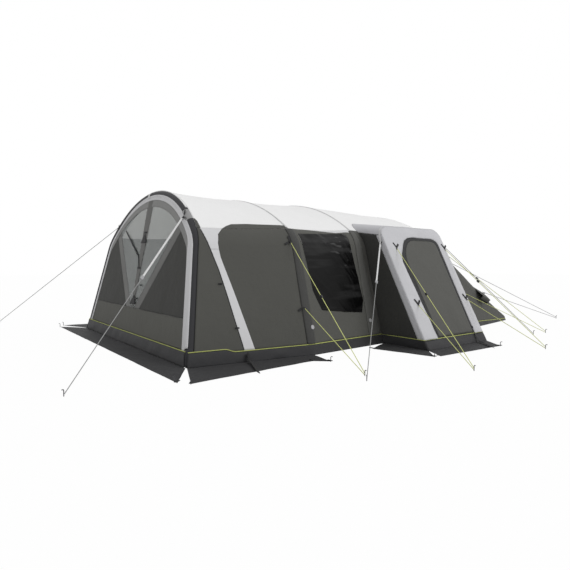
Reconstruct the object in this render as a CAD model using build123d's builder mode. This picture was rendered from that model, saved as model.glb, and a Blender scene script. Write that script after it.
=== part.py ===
"""Family tunnel tent held up by inflated arches, with a side porch and a sloping bedroom tail.

Millimetres. X runs along the tent, from the front gable to the tail, Y runs from the porch
side to the far side, and Z is up. The origin is on the ground at the middle of the floor.
Cloth is drawn thicker than it is, and pegs are drawn only above the ground.
"""

import os
from dataclasses import dataclass, replace
from math import cos, degrees, hypot, radians, sin, sqrt, tan

from build123d import *

os.makedirs("parts", exist_ok=True)

# Cloth and the room between sewn pieces
cloth = 3.0
floor_cloth = 2.0
seam_gap = 0.5
rest_gap = 0.4

# Arches: lean of the straight legs from the vertical, shared by all
leg_angle = 15.0
near, far = -1, 1

# Air beams
beam_radius = 60.0
porch_beam_radius = 50.0
brace_radius = 50.0
beam_room = 3.0
bladder_room = 0.4
foot_run = 150.0
rear_beam_ahead = 90.0

# Bands along the ground
mud_height = 130.0
gable_mud_height = 165.0
piping_height = 8.0
piping_proud = 4.0


@dataclass
class Arch:
    """One cross-section of the tent: straight legs, round shoulders and a flatter crown."""

    x: float
    half_width: float
    height: float
    crown_turn: float
    shoulder: float
    lean: float = 0.0

    def plane(self, ahead=0.0):
        return Plane((self.x + ahead, 0, 0), x_dir=(0, 1, 0), z_dir=(1, 0, -self.lean))


front = Arch(x=-3300, half_width=1985, height=2130, crown_turn=46, shoulder=450, lean=0.20)
second = Arch(x=-1730, half_width=2200, height=2080, crown_turn=56, shoulder=450)
third = Arch(x=-550, half_width=2130, height=2080, crown_turn=56, shoulder=450)
rear = Arch(x=1380, half_width=2080, height=2000, crown_turn=56, shoulder=450)
tail = Arch(x=3560, half_width=1720, height=160, crown_turn=86, shoulder=60)


def between(first, last, x):
    """The cross-section of a straight bay at a place along it."""
    share = (x - first.x) / (last.x - first.x)
    half_width = first.half_width + share * (last.half_width - first.half_width)
    height = first.height + share * (last.height - first.height)
    return Arch(x, half_width, height, first.crown_turn, first.shoulder)


def inner_arch(first, last, ahead):
    """The arch for what stands a little way inside a bay: no larger than the bay is there."""
    foot_share = ahead / (last.x - first.x)
    crown_share = ahead / (last.x - first.x - first.lean * first.height)
    return replace(
        first,
        half_width=first.half_width + min(0, last.half_width - first.half_width) * foot_share,
        height=first.height + min(0, last.height - first.height) * crown_share,
    )


class Outline:
    """Half of an arch's outline, moved inwards by an inset: foot, leg, shoulder and eave."""

    def __init__(self, arch, inset):
        lean, turn = radians(leg_angle), radians(arch.crown_turn)
        self.crown_turn = arch.crown_turn
        self.foot = arch.half_width - inset / cos(lean)
        self.top = arch.height * hypot(1, arch.lean) - inset
        self.radius = arch.shoulder - inset
        width = self.foot - self.radius * (cos(lean) - cos(turn))
        rise = self.top - self.radius * (sin(turn) - sin(lean))
        leg = (width * (1 - sin(turn)) - rise * cos(turn)) / (
            sin(lean) * (1 - sin(turn)) - cos(lean) * cos(turn)
        )
        self.leg_top = (self.foot - leg * sin(lean), leg * cos(lean))
        self.eave = self.shoulder_at(arch.crown_turn)

    def leg_at(self, height):
        return (self.foot - height * tan(radians(leg_angle)), height)

    def shoulder_at(self, heading):
        lean, turn = radians(leg_angle), radians(heading)
        return (
            self.leg_top[0] - self.radius * (cos(lean) - cos(turn)),
            self.leg_top[1] + self.radius * (sin(turn) - sin(lean)),
        )


    def crown_at(self, heading):
        lean, turn = radians(heading), radians(self.crown_turn)
        return (self.eave[0] * cos(lean) / cos(turn), self.top - self.eave[0] * (1 - sin(lean)) / cos(turn))


def sided(side, point):
    return (side * point[0], point[1])


def leg_direction(side):
    return (-side * sin(radians(leg_angle)), cos(radians(leg_angle)))


def wall_face(arch, side, low):
    """A wall's edge on an arch: up the leg from a height and round the shoulder to the eave."""
    outer, inner = Outline(arch, 0), Outline(arch, cloth)
    heading = arch.crown_turn - degrees(seam_gap / arch.shoulder)
    with BuildSketch(arch.plane()) as face:
        with BuildLine():
            ends = []
            for line in (outer, inner):
                leg = Line(sided(side, line.leg_at(low)), sided(side, line.leg_top))
                end = sided(side, line.shoulder_at(heading))
                TangentArc(sided(side, line.leg_top), end, tangent=leg_direction(side))
                ends.append((leg @ 0, end))
            Line(ends[0][0], ends[1][0])
            Line(ends[0][1], ends[1][1])
        make_face()
    return face.sketch


def band_face(arch, side, low, high, proud=0.0):
    """A band on an arch's leg between two heights, standing proud of the wall if asked."""
    outer, inner = Outline(arch, -proud), Outline(arch, cloth)
    corners = [outer.leg_at(low), outer.leg_at(high), inner.leg_at(high), inner.leg_at(low)]
    with BuildSketch(arch.plane()) as face:
        with BuildLine():
            Polyline(*[sided(side, corner) for corner in corners], close=True)
        make_face()
    return face.sketch


def roof_face(arch, outset=0.0, thickness=cloth):
    """The roof's edge on an arch: the crown from eave to eave."""
    outer, inner = Outline(arch, -outset), Outline(arch, thickness - outset)
    with BuildSketch(arch.plane()) as face:
        with BuildLine():
            for line in (outer, inner):
                ThreePointArc(sided(near, line.eave), (0, line.top), line.eave)
            for side in (near, far):
                Line(sided(side, outer.eave), sided(side, inner.eave))
        make_face()
    return face.sketch


def whole_face(arch, inset):
    """Everything under an arch, above the ground."""
    line = Outline(arch, inset)
    with BuildSketch(arch.plane()) as face:
        with BuildLine():
            Line(sided(near, line.leg_at(0)), line.leg_at(0))
            for side in (near, far):
                Line(sided(side, line.leg_at(0)), sided(side, line.leg_top))
                TangentArc(
                    sided(side, line.leg_top), sided(side, line.eave), tangent=leg_direction(side)
                )
            ThreePointArc(sided(near, line.eave), (0, line.top), line.eave)
        make_face()
    return face


def keep(piece, name):
    piece.part.label = name
    export_step(piece.part, f"parts/{name}.step")


# Roof panels, one to a bay, and the sloping tail
roof_bays = {
    "roof_front": (front, second),
    "roof_middle": (second, third),
    "roof_rear": (third, rear),
    "tail_panel": (rear, tail),
}
for name, bay in roof_bays.items():
    with BuildPart() as roof:
        loft([roof_face(arch) for arch in bay], ruled=True)
    keep(roof, name)

# Plain side walls, from the piping to the eave
wall_low = mud_height + piping_height / 2 + seam_gap
wall_bays = {
    "near_front_wall": (front, second, near),
    "near_tail_wall": (rear, tail, near),
    "far_front_wall": (front, second, far),
    "far_middle_wall": (second, third, far),
    "far_rear_wall": (third, rear, far),
    "far_tail_wall": (rear, tail, far),
}
tail_wall_low = 40.0
for name, (first, last, side) in wall_bays.items():
    with BuildPart() as wall:
        last_low = tail_wall_low if last is tail else wall_low
        loft([wall_face(first, side, wall_low), wall_face(last, side, last_low)], ruled=True)
    keep(wall, name)

# Side window wall between the second and third arches, with its tinted pane
window_corners = [
    (-1620, 1500), (-710, 1530), (-650, 640), (-710, 480), (-1460, 560), (-1560, 800),
]
pane_gap = 2 * seam_gap
cut_reach = 3000.0


with BuildSketch(Plane.XZ) as window_outline:
    with BuildLine():
        Polyline(*window_corners, close=True)
    make_face()

with BuildSketch(Plane.XZ) as pane_outline:
    add(window_outline.sketch)
    offset(amount=-pane_gap, mode=Mode.REPLACE)

with BuildPart() as window_wall:
    loft([wall_face(arch, near, wall_low) for arch in (second, third)], ruled=True)
    extrude(window_outline.sketch, amount=cut_reach, both=True, mode=Mode.SUBTRACT)
keep(window_wall, "window_wall")

with BuildPart() as side_window:
    loft([wall_face(arch, near, wall_low) for arch in (second, third)], ruled=True)
    extrude(pane_outline.sketch, amount=cut_reach, both=True, mode=Mode.INTERSECT)
keep(side_window, "side_window")

# Side porch: a leaning front between two upright side walls
porch_left, porch_right = -400.0, 940.0
porch_foot = -2880.0
porch_lean = 0.535
porch_height = 1640.0
porch_corner = 150.0
porch_roof_slope = 0.12
porch_depth = 1700.0
porch_width = porch_right - porch_left
porch_middle = (porch_left + porch_right) / 2
porch_slant = porch_height * hypot(1, porch_lean)
porch_front = Plane((porch_middle, porch_foot, 0), x_dir=(1, 0, 0), z_dir=(0, -1, porch_lean))
porch_run = Vector(0, 1, porch_roof_slope)
porch_below = 700.0
opening_top = 1450.0

with BuildPart() as bay_room:
    loft([whole_face(arch, -seam_gap).sketch for arch in (third, rear)], ruled=True)

with BuildPart() as near_rear_wall:
    loft([wall_face(arch, near, wall_low) for arch in (third, rear)], ruled=True)
    with BuildSketch(Plane.XZ):
        with BuildLine():
            left, right = porch_left + cloth, porch_right - cloth
            Polyline((left, 0), (right, 0), (right, opening_top), (left, opening_top), close=True)
        make_face()
    extrude(amount=cut_reach, both=True, mode=Mode.SUBTRACT)
keep(near_rear_wall, "near_rear_wall")


def porch_side(side, low, high, proud=0.0):
    """One upright side of the porch between two heights, trimmed to the tent's wall."""
    edge = side * porch_width / 2
    with BuildPart() as panel:
        with BuildSketch(porch_front):
            with BuildLine():
                outside, inside = edge + side * proud, edge - side * cloth
                top = porch_slant - porch_corner - seam_gap
                Polyline(
                    (outside, -porch_below), (inside, -porch_below), (inside, top), (outside, top),
                    close=True,
                )
            make_face()
        extrude(amount=porch_depth, dir=porch_run)
        split(bisect_by=Plane.XY.offset(low), keep=Keep.TOP)
        if high:
            split(bisect_by=Plane.XY.offset(high), keep=Keep.BOTTOM)
        add(bay_room.part, mode=Mode.SUBTRACT)
    return panel


for name, side in (("porch_left_wall", near), ("porch_right_wall", far)):
    keep(porch_side(side, wall_low, None), name)


def porch_top_line(inset):
    """Top of the porch front's outline: a corner, the straight top and the other corner."""
    half, top = porch_width / 2 - inset, porch_slant - inset
    corner = porch_corner - inset
    TangentArc((-half, top - corner), (-half + corner, top), tangent=(0, 1))
    Line((-half + corner, top), (half - corner, top))
    TangentArc((half - corner, top), (half, top - corner), tangent=(1, 0))
    return half, top - corner


with BuildPart() as porch_roof:
    with BuildSketch(porch_front):
        with BuildLine():
            outer_half, outer_low = porch_top_line(0)
            inner_half, inner_low = porch_top_line(cloth)
            for side in (near, far):
                Line((side * outer_half, outer_low), (side * inner_half, inner_low))
        make_face()
    extrude(amount=porch_depth, dir=porch_run)
    add(bay_room.part, mode=Mode.SUBTRACT)
keep(porch_roof, "porch_roof")

# Porch front: a frame of cloth and the zipped door in it
door_left, door_right = -80.0, 730.0
door_low, door_high = 150.0, 1510.0
door_corner = 110.0
door_gap = 1.0
slant = hypot(1, porch_lean)
door_width = door_right - door_left
door_centre = ((door_left + door_right) / 2 - porch_middle, (door_high + door_low) / 2 * slant)
frame_inset = cloth + seam_gap


def door_outline(grow):
    """The door's outline, square at the foot and round at its upper corners."""
    half, foot, top = door_width / 2 + grow, door_low * slant - grow, door_high * slant + grow
    corner = door_corner + grow
    with BuildSketch(porch_front) as outline:
        with BuildLine():
            x = door_centre[0]
            Polyline(
                (x - half, top - corner), (x - half, foot), (x + half, foot), (x + half, top - corner)
            )
            TangentArc((x - half, top - corner), (x - half + corner, top), tangent=(0, 1))
            Line((x - half + corner, top), (x + half - corner, top))
            TangentArc((x + half - corner, top), (x + half, top - corner), tangent=(1, 0))
        make_face()
    return outline


with BuildPart() as porch_front_frame:
    with BuildSketch(porch_front):
        with BuildLine():
            half, top = porch_top_line(frame_inset)
            low = wall_low * slant
            Polyline((-half, top), (-half, low), (half, low), (half, top))
        make_face()
        add(door_outline(door_gap).sketch_local, mode=Mode.SUBTRACT)
    extrude(amount=-cloth)
keep(porch_front_frame, "porch_front_frame")

with BuildPart() as porch_door:
    extrude(door_outline(0).sketch, amount=-cloth)
keep(porch_door, "porch_door")

# Front gable: panels in one leaning plane, sewn round to the front of the front beam
front_beam_ahead = beam_radius
beam_inset = cloth + beam_room + beam_radius
gable_ahead = 12.0
gable_arch = inner_arch(front, second, gable_ahead)
gable_rise = hypot(1, front.lean)
gable_behind = (front_beam_ahead - gable_ahead) / gable_rise - cloth
gable_inset = beam_inset + sqrt(beam_radius**2 - gable_behind**2) + seam_gap
arch_band_width = 100.0
sill_height = 500.0
sill = sill_height * gable_rise
flap_top, flap_low = (1080.0, 1600.0), (60.0, sill_height)
flap_width = 140.0
zip_low_width, zip_top_width = 80.0, 220.0
gable_low = (gable_mud_height + piping_height / 2) * gable_rise + seam_gap
gable_top = front.height * gable_rise


def gable_sketch(inset):
    return whole_face(gable_arch, inset).sketch_local


def flap_edge(height, out):
    """Distance from the middle of the gable to a flap's edge at a height."""
    climb = (flap_top[0] - flap_low[0]) / (flap_top[1] - flap_low[1])
    return flap_low[0] + (height - flap_low[1]) * climb + out


flap_slope = hypot(flap_top[0] - flap_low[0], flap_top[1] - flap_low[1]) / (flap_top[1] - flap_low[1])
flap_reach = flap_width * flap_slope
inner_inset = gable_inset + arch_band_width + seam_gap


def gable_piece(inset, outlines):
    """Cloth in the gable's plane: the area under the arch that lies in the given outlines."""
    with BuildPart() as piece:
        with BuildSketch(front.plane(gable_ahead)):
            for outline in outlines:
                with BuildLine():
                    Polyline(*outline, close=True)
                make_face()
            add(gable_sketch(inset), mode=Mode.INTERSECT)
        extrude(amount=cloth)
        split(bisect_by=Plane.XY, keep=Keep.TOP)
    return piece


gable_reach = 2 * front.half_width


def gable_strip(low, high, half=gable_reach):
    """A level strip of the gable's plane between two levels."""
    return [(-half, low), (half, low), (half, high), (-half, high)]


keep(gable_piece(gable_inset, [gable_strip(gable_low, sill - seam_gap)]), "gable_lower_wall")

with BuildPart() as gable_arch_band:
    with BuildSketch(front.plane(gable_ahead)):
        add(gable_sketch(gable_inset))
        add(gable_sketch(gable_inset + arch_band_width), mode=Mode.SUBTRACT)
        with BuildLine():
            Polyline(*gable_strip(sill, gable_top), close=True)
        make_face(mode=Mode.INTERSECT)
    extrude(amount=cloth)
keep(gable_arch_band, "gable_arch_band")


def flap_outline(side, inside, outside):
    """A slanted strip beside the gable window, between two distances from its inner edge."""
    return [
        (side * (flap_edge(level / gable_rise, 0) + reach), level)
        for level, reach in (
            (sill, inside), (gable_top, inside), (gable_top, outside), (sill, outside)
        )
    ]


sides = (near, far)
keep(gable_piece(inner_inset, [flap_outline(s, seam_gap, flap_reach) for s in sides]), "gable_flaps")
keep(
    gable_piece(inner_inset, [flap_outline(s, flap_reach + seam_gap, gable_reach) for s in sides]),
    "gable_side_panels",
)
keep(
    gable_piece(
        inner_inset,
        [
            [
                (s * (zip_low_width / 2 + seam_gap), sill),
                (s * (flap_edge(sill_height, 0) - seam_gap), sill),
                (s * (flap_edge(front.height, 0) - seam_gap), gable_top),
                (s * (zip_top_width / 2 + seam_gap), gable_top),
            ]
            for s in sides
        ],
    ),
    "gable_window",
)
zip_outline = [
    (-zip_low_width / 2, sill), (zip_low_width / 2, sill), (zip_top_width / 2, gable_top),
    (-zip_top_width / 2, gable_top),
]
keep(gable_piece(inner_inset, [zip_outline]), "gable_zip_strip")

# Mud walls and the piping along their tops
bays = ((front, second), (second, third), (third, rear), (rear, tail))
mud_top = mud_height - piping_height / 2 - seam_gap
tail_mud = tail_wall_low - piping_height - 2 * seam_gap
gable_mud_top = (gable_mud_height - piping_height / 2) * gable_rise - seam_gap


def bay_band(first, last, side, low, high, tail_low, tail_high, proud=0.0):
    """A band along the foot of one bay, cut away where the porch opens into the tent."""
    last_low, last_high = (tail_low, tail_high) if last is tail else (low, high)
    with BuildPart() as band:
        loft(
            [
                band_face(first, side, low, high, proud),
                band_face(last, side, last_low, last_high, proud),
            ],
            ruled=True,
        )
        split(bisect_by=Plane.YZ.offset(last.x - seam_gap), keep=Keep.BOTTOM)
        if (first, side) == (third, near):
            with BuildSketch(Plane.XZ):
                with BuildLine():
                    left = porch_left - proud - seam_gap
                    right = porch_right + proud + seam_gap
                    Polyline(
                        (left, -high), (right, -high), (right, 2 * high), (left, 2 * high), close=True
                    )
                make_face()
            extrude(amount=cut_reach, both=True, mode=Mode.SUBTRACT)
    return band


def porch_front_band(low, high, proud=0.0):
    """A band across the porch front between two heights above the ground."""
    half, foot, top = porch_width / 2 - frame_inset, low * slant, high * slant
    with BuildPart() as band:
        with BuildSketch(porch_front.offset(proud)):
            with BuildLine():
                Polyline((-half, foot), (half, foot), (half, top), (-half, top), close=True)
            make_face()
        extrude(amount=-cloth - proud)
        split(bisect_by=Plane.XY, keep=Keep.TOP)
    return band


with BuildPart() as mud_walls:
    for first, last in bays:
        for side in sides:
            add(bay_band(first, last, side, 0, mud_top, 0, tail_mud).part)
    for side in sides:
        add(porch_side(side, 0, mud_top).part)
    add(porch_front_band(0, mud_top).part)
    add(gable_piece(gable_inset, [gable_strip(0, gable_mud_top)]).part)
    extrude(whole_face(tail, 0).sketch, amount=cloth)
keep(mud_walls, "mud_walls")

piping_low, piping_high = mud_height - piping_height / 2, mud_height + piping_height / 2
tail_piping = (tail_wall_low - seam_gap - piping_height, tail_wall_low - seam_gap)
gable_piping_low = (gable_mud_height - piping_height / 2) * gable_rise
gable_piping_high = (gable_mud_height + piping_height / 2) * gable_rise
with BuildPart() as piping:
    for first, last in bays:
        for side in sides:
            add(bay_band(first, last, side, piping_low, piping_high, *tail_piping, piping_proud).part)
    for side in sides:
        add(porch_side(side, piping_low, piping_high, piping_proud).part)
    add(porch_front_band(piping_low, piping_high, piping_proud).part)
    add(gable_piece(gable_inset, [gable_strip(gable_piping_low, gable_piping_high)]).part)
keep(piping, "piping")

# Ground: the sewn-in floor and the skirts that lie outside the mud walls
floor_edge = seam_gap + floor_cloth * tan(radians(leg_angle))
gable_foot = front.x + gable_ahead
floor_front = gable_foot + cloth * gable_rise + floor_cloth * front.lean + seam_gap
floor_stations = [
    (floor_front, front),
    (second.x, second),
    (third.x, third),
    (rear.x, rear),
    (tail.x - seam_gap, tail),
]
floor_half = [(x, Outline(arch, cloth).foot - floor_edge) for x, arch in floor_stations]
with BuildPart() as floor:
    with BuildSketch():
        with BuildLine():
            near_edge = [(x, -half) for x, half in floor_half]
            far_edge = [(x, half) for x, half in reversed(floor_half)]
            Polyline(*near_edge, *far_edge, close=True)
        make_face()
    extrude(amount=floor_cloth)
keep(floor, "floor")

skirt_width = 330.0
skirt_flare = 430.0
skirt_nose = (-3540.0, -2580.0)
skirt_end = (-1960.0, -2460.0)
skirt_tip = (-1820.0, -2600.0)
porch_skirt_wall, porch_skirt_tip = (-840.0, -2330.0), (-640.0, -3140.0)
porch_skirt_left, porch_skirt_right = (-560.0, -3170.0), (700.0, -3210.0)
tongue = Outline(front, gable_inset).foot - seam_gap
gable_skirt_corner = (front.x - skirt_width, front.half_width + skirt_flare)
skirt_gap = cloth + seam_gap
with BuildPart() as skirts:
    with BuildSketch():
        with BuildLine():
            edge = front.x - seam_gap
            Polyline(
                (gable_skirt_corner[0], -gable_skirt_corner[1]),
                (edge, -front.half_width), (edge, -tongue), (gable_foot - seam_gap, -tongue),
                (gable_foot - seam_gap, tongue), (edge, tongue), (edge, front.half_width),
                gable_skirt_corner,
                close=True,
            )
        make_face()
        for side in sides:
            with BuildLine():
                Polyline(
                    (front.x, side * (front.half_width + seam_gap)),
                    (skirt_nose[0], -side * skirt_nose[1]),
                    (skirt_end[0], -side * skirt_end[1]),
                    (skirt_tip[0], -side * skirt_tip[1]),
                    (second.x, side * (second.half_width + seam_gap)),
                    close=True,
                )
            make_face()
        with BuildLine():
            Polyline(
                (porch_left - seam_gap, -third.half_width - skirt_gap), porch_skirt_wall,
                porch_skirt_tip, (porch_left - seam_gap, porch_foot),
                close=True,
            )
        make_face()
        with BuildLine():
            Polyline(
                (porch_left, porch_foot - seam_gap), porch_skirt_left, porch_skirt_right,
                (porch_right, porch_foot - seam_gap),
                close=True,
            )
        make_face()
    extrude(amount=floor_cloth)
keep(skirts, "skirts")


# Air beams: a sewn sleeve with an inflated bladder inside it
def beam_path(arch, inset, ahead=0.0):
    """Centre line of a beam under an arch, run on below the ground at both feet."""
    line = Outline(arch, inset)
    bend = line.shoulder_at((leg_angle + arch.crown_turn) / 2)
    with BuildLine(arch.plane(ahead)) as path:
        Line(sided(near, line.leg_at(-foot_run)), sided(near, line.leg_top))
        ThreePointArc(sided(near, line.leg_top), sided(near, bend), sided(near, line.eave))
        ThreePointArc(sided(near, line.eave), (0, line.top), line.eave)
        ThreePointArc(line.eave, bend, line.leg_top)
        Line(line.leg_top, line.leg_at(-foot_run))
    return path.wires()[0]


def porch_beam_path():
    """Centre line of the porch beam, behind the edge of the porch front."""
    inset = cloth + seam_gap + porch_beam_radius
    half, top, corner = porch_width / 2 - inset, porch_slant - inset, porch_corner - inset
    bend = corner * (1 - cos(radians(45)))
    with BuildLine(porch_front.offset(-inset)) as path:
        Line((-half, -foot_run), (-half, top - corner))
        ThreePointArc((-half, top - corner), (-half + bend, top - bend), (-half + corner, top))
        Line((-half + corner, top), (half - corner, top))
        ThreePointArc((half - corner, top), (half - bend, top - bend), (half, top - corner))
        Line((half, top - corner), (half, -foot_run))
    return path.wires()[0]


def tube(path, radius, hole, foot):
    """A tube along a path, with its feet cut level at a height."""
    with BuildPart() as piece:
        with BuildSketch(Plane(path @ 0, z_dir=path % 0)):
            Circle(radius)
            if hole:
                Circle(hole, mode=Mode.SUBTRACT)
        sweep(path=path)
        split(bisect_by=Plane.XY.offset(foot), keep=Keep.TOP)
    return piece


def wall_point(first, last, share, height, side, inset=0.0):
    """A point on a bay's wall: a share of the way between its arches, at a height on the legs."""
    ends = []
    for arch in (first, last):
        level = height * hypot(1, arch.lean)
        ends.append(arch.plane().from_local_coords((*sided(side, Outline(arch, inset).leg_at(level)), 0)))
    return ends[0] + (ends[1] - ends[0]) * share


def wall_normal(first, last, share, height, side):
    """Outward direction of a bay's wall."""
    here = wall_point(first, last, share, height, side)
    along = wall_point(first, last, share + 0.01, height, side) - here
    upward = wall_point(first, last, share, height + 1, side) - here
    return (upward.cross(along) * side).normalized()


front_beam_arch = inner_arch(front, second, front_beam_ahead)
rear_beam_arch = between(third, rear, rear.x - rear_beam_ahead)
beam_lines = {
    "front": (beam_path(front_beam_arch, beam_inset, front_beam_ahead), beam_radius, floor_cloth),
    "second": (beam_path(second, beam_inset), beam_radius, floor_cloth),
    "third": (beam_path(third, beam_inset), beam_radius, floor_cloth),
    "rear": (beam_path(rear_beam_arch, beam_inset), beam_radius, floor_cloth),
    "porch": (porch_beam_path(), porch_beam_radius, 0),
}
for name, (path, radius, foot) in beam_lines.items():
    keep(tube(path, radius, radius - cloth, foot), f"{name}_beam_sleeve")

# Braces: straight beams inside the front bay's walls, from behind the front beam to the ground
brace_foot_share = 0.487
brace_top_height = 1290.0
brace_room = 5.0
brace_behind = front_beam_ahead + beam_radius + brace_radius + brace_room
brace_top_share = brace_behind / (second.x - front.x - front.lean * brace_top_height)


def brace_line(side):
    low = wall_point(front, second, brace_foot_share, 0, side)
    high = wall_point(front, second, brace_top_share, brace_top_height, side)
    inward = wall_normal(front, second, brace_foot_share, 0, side) * -(brace_radius + cloth + brace_room)
    run = (high - low).normalized()
    with BuildLine() as path:
        Line(low + inward - run * foot_run, high + inward)
    return path.wires()[0]


with BuildPart() as brace_sleeves:
    for side in sides:
        add(tube(brace_line(side), brace_radius, brace_radius - cloth, floor_cloth).part)
keep(brace_sleeves, "brace_sleeves")

# Bladders: one in each beam, with the braces' two made as one piece with the front beam's
for name, (path, radius, foot) in beam_lines.items():
    with BuildPart() as bladder:
        add(tube(path, radius - cloth - bladder_room, 0, foot).part)
        if name == "front":
            for side in sides:
                add(tube(brace_line(side), brace_radius - cloth - bladder_room, 0, floor_cloth).part)
    keep(bladder, f"{name}_bladder")

# Bedroom partition, hung across the tent ahead of the rear arch
partition_x = 1100.0
partition_inset = 20.0
with BuildPart() as bedroom_partition:
    extrude(whole_face(between(third, rear, partition_x), partition_inset).sketch, amount=cloth)
    split(bisect_by=Plane.XY.offset(floor_cloth), keep=Keep.TOP)
keep(bedroom_partition, "bedroom_partition")

# Vent hood on the tail's near hip: a wedge sewn along its upper edge, raised at its lower one
hood_share = 0.585
hood_length, hood_width, hood_lift, hood_root = 230.0, 360.0, 60.0, 140.0
hood_turn = 40.0
hood_patch_share = 0.75


def tail_hip(share):
    """A point on the edge between the tail's near wall and its shoulder, and the way the wall faces."""
    high = rear.plane().from_local_coords((*sided(near, Outline(rear, 0).leg_top), 0))
    low = tail.plane().from_local_coords((*sided(near, Outline(tail, 0).leg_top), 0))
    leg = Vector(0, sin(radians(leg_angle)), cos(radians(leg_angle)))
    return high + (low - high) * share, (low - high).normalized(), (low - high).cross(leg).normalized()


hood_place, hood_down, hip_out = tail_hip(hood_share)
hood_out = hip_out * cos(radians(hood_turn)) + hip_out.cross(hood_down) * sin(radians(hood_turn))
with BuildPart() as tail_room:
    loft([whole_face(arch, -seam_gap).sketch for arch in (rear, tail)], ruled=True)

with BuildPart() as tail_vent_hood:
    with BuildSketch(Plane(hood_place, x_dir=hood_down, z_dir=hood_down.cross(hood_out))):
        with BuildLine():
            Polyline(
                (-hood_length / 2, -hood_root), (hood_length / 2, -hood_root),
                (hood_length / 2, hood_lift), (-hood_length / 2, 0), close=True,
            )
        make_face()
    extrude(amount=hood_width / 2, both=True)
    add(tail_room.part, mode=Mode.SUBTRACT)
keep(tail_vent_hood, "tail_vent_hood")

# Inflation valves on the window bay's two arches, each with a flap cap
valve_height, valve_seat = 330.0, 45.0
valve_radius, valve_depth = 23.0, 10.0
cap_radius, cap_depth = 26.0, 5.0
bay_length = third.x - second.x
valve_shares = {"second": valve_seat / bay_length, "third": 1 - valve_seat / bay_length}


def valve_plane(share):
    out = wall_normal(second, third, share, valve_height, near)
    seat = wall_point(second, third, share, valve_height, near) + out * rest_gap
    return Plane(seat, x_dir=(1, 0, 0), z_dir=out)


with BuildPart() as valve_bodies:
    for share in valve_shares.values():
        with BuildSketch(valve_plane(share)):
            Circle(valve_radius)
        extrude(amount=valve_depth)
keep(valve_bodies, "valve_bodies")

for name, share in valve_shares.items():
    with BuildPart() as cap:
        with BuildSketch(valve_plane(share).offset(valve_depth + rest_gap)):
            Circle(cap_radius)
        extrude(amount=cap_depth)
    keep(cap, f"{name}_valve_cap")
    hinge = valve_plane(share).offset(valve_depth + rest_gap).from_local_coords((0, cap_radius, 0))
    print(name, "valve cap hinge", hinge, "axis", valve_plane(share).x_dir)

# Guy points: a sewn patch with a webbing loop that points along its line
patch_size, patch_thickness = (50.0, 70.0), 4.0
post_radius, post_height = 8.0, 14.0
loop_radius, loop_length = 5.0, 35.0
line_radius = 4.0
strap_width, strap_thickness = 25.0, 3.0
peg_radius, peg_height, peg_bend, peg_arm = 4.0, 60.0, 10.0, 22.0
single_height, upper_height, lower_height = 20.0, 34.0, 14.0
knot_lift = post_height / 2


def on_shoulder(first, last, share, heading, side):
    """A point on a bay's shoulder, a share of the way between its arches, and the way it faces."""
    ends = []
    for arch in (first, last):
        bend = Outline(arch, 0).shoulder_at(heading)
        ends.append(arch.plane().from_local_coords((*sided(side, bend), 0)))
    along = ends[1] - ends[0]
    upward = Vector(0, -side * sin(radians(heading)), cos(radians(heading)))
    return ends[0] + along * share, (upward.cross(along) * side).normalized()


def beam_face(heading, side):
    """A point on the front of the front beam, on its crown."""
    plane = front.plane(front_beam_ahead)
    bend = Outline(front_beam_arch, beam_inset).crown_at(heading)
    return plane.from_local_coords((*sided(side, bend), -beam_radius)), plane.z_dir * -1


def on_wall(first, last, share, height, side):
    return wall_point(first, last, share, height, side), wall_normal(first, last, share, height, side)


def on_porch(x, height):
    return porch_front.from_local_coords((x - porch_middle, height * slant, 0)), porch_front.z_dir


def on_hood():
    """A point on the vent hood's top, near its lower edge, and the way the top faces."""
    place = hood_place + hood_down * (hood_patch_share - 0.5) * hood_length
    out = (hood_out * hood_length - hood_down * hood_lift).normalized()
    return place + hood_out * hood_lift * hood_patch_share, out


front_heading, second_heading, rear_heading = 54.0, 25.0, 33.0
second_upper_share, second_lower_share = 0.945, 0.975
rear_share = 0.97
second_lower_height = 575.0
rear_upper_height, rear_lower_height = 1220.0, 780.0
left_corner_back, left_corner_height = 820.0, 1400.0
right_corner_back, right_corner_height = 850.0, 1460.0
left_upper_x, left_upper_height = -215.0, 1330.0
left_lower_x, left_lower_height = -250.0, 565.0
right_upper_x, right_upper_height = 895.0, 1335.0
right_lower_x, right_lower_height = 870.0, 590.0
guy_points = {
    "far_front": beam_face(front_heading, far),
    "near_front": beam_face(front_heading, near),
    "second_upper": on_shoulder(front, second, second_upper_share, second_heading, near),
    "second_lower": on_wall(front, second, second_lower_share, second_lower_height, near),
    "porch_left_corner": (
        Vector(porch_left, porch_foot + left_corner_back, left_corner_height), Vector(-1, 0, 0)
    ),
    "porch_left_upper": on_porch(left_upper_x, left_upper_height),
    "porch_left_lower": on_porch(left_lower_x, left_lower_height),
    "porch_right_corner": (
        Vector(porch_right, porch_foot + right_corner_back, right_corner_height), Vector(1, 0, 0)
    ),
    "porch_right_upper": on_porch(right_upper_x, right_upper_height),
    "porch_right_lower": on_porch(right_lower_x, right_lower_height),
    "rear_shoulder": on_shoulder(third, rear, rear_share, rear_heading, near),
    "rear_upper": on_wall(third, rear, rear_share, rear_upper_height, near),
    "rear_lower": on_wall(third, rear, rear_share, rear_lower_height, near),
    "tail_hood": on_hood(),
}
guy_pegs = {
    "far_front": (-4700.0, 2530.0),
    "near_front": (-4580.0, -2310.0),
    "side": (-2010.0, -3320.0),
    "porch_strap": (-2140.0, -3470.0),
    "porch_left": (-930.0, -3840.0),
    "porch_corner": (2120.0, -2960.0),
    "porch_right": (970.0, -3680.0),
    "rear": (2430.0, -3000.0),
    "tail": (4640.0, -2180.0),
}
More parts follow.
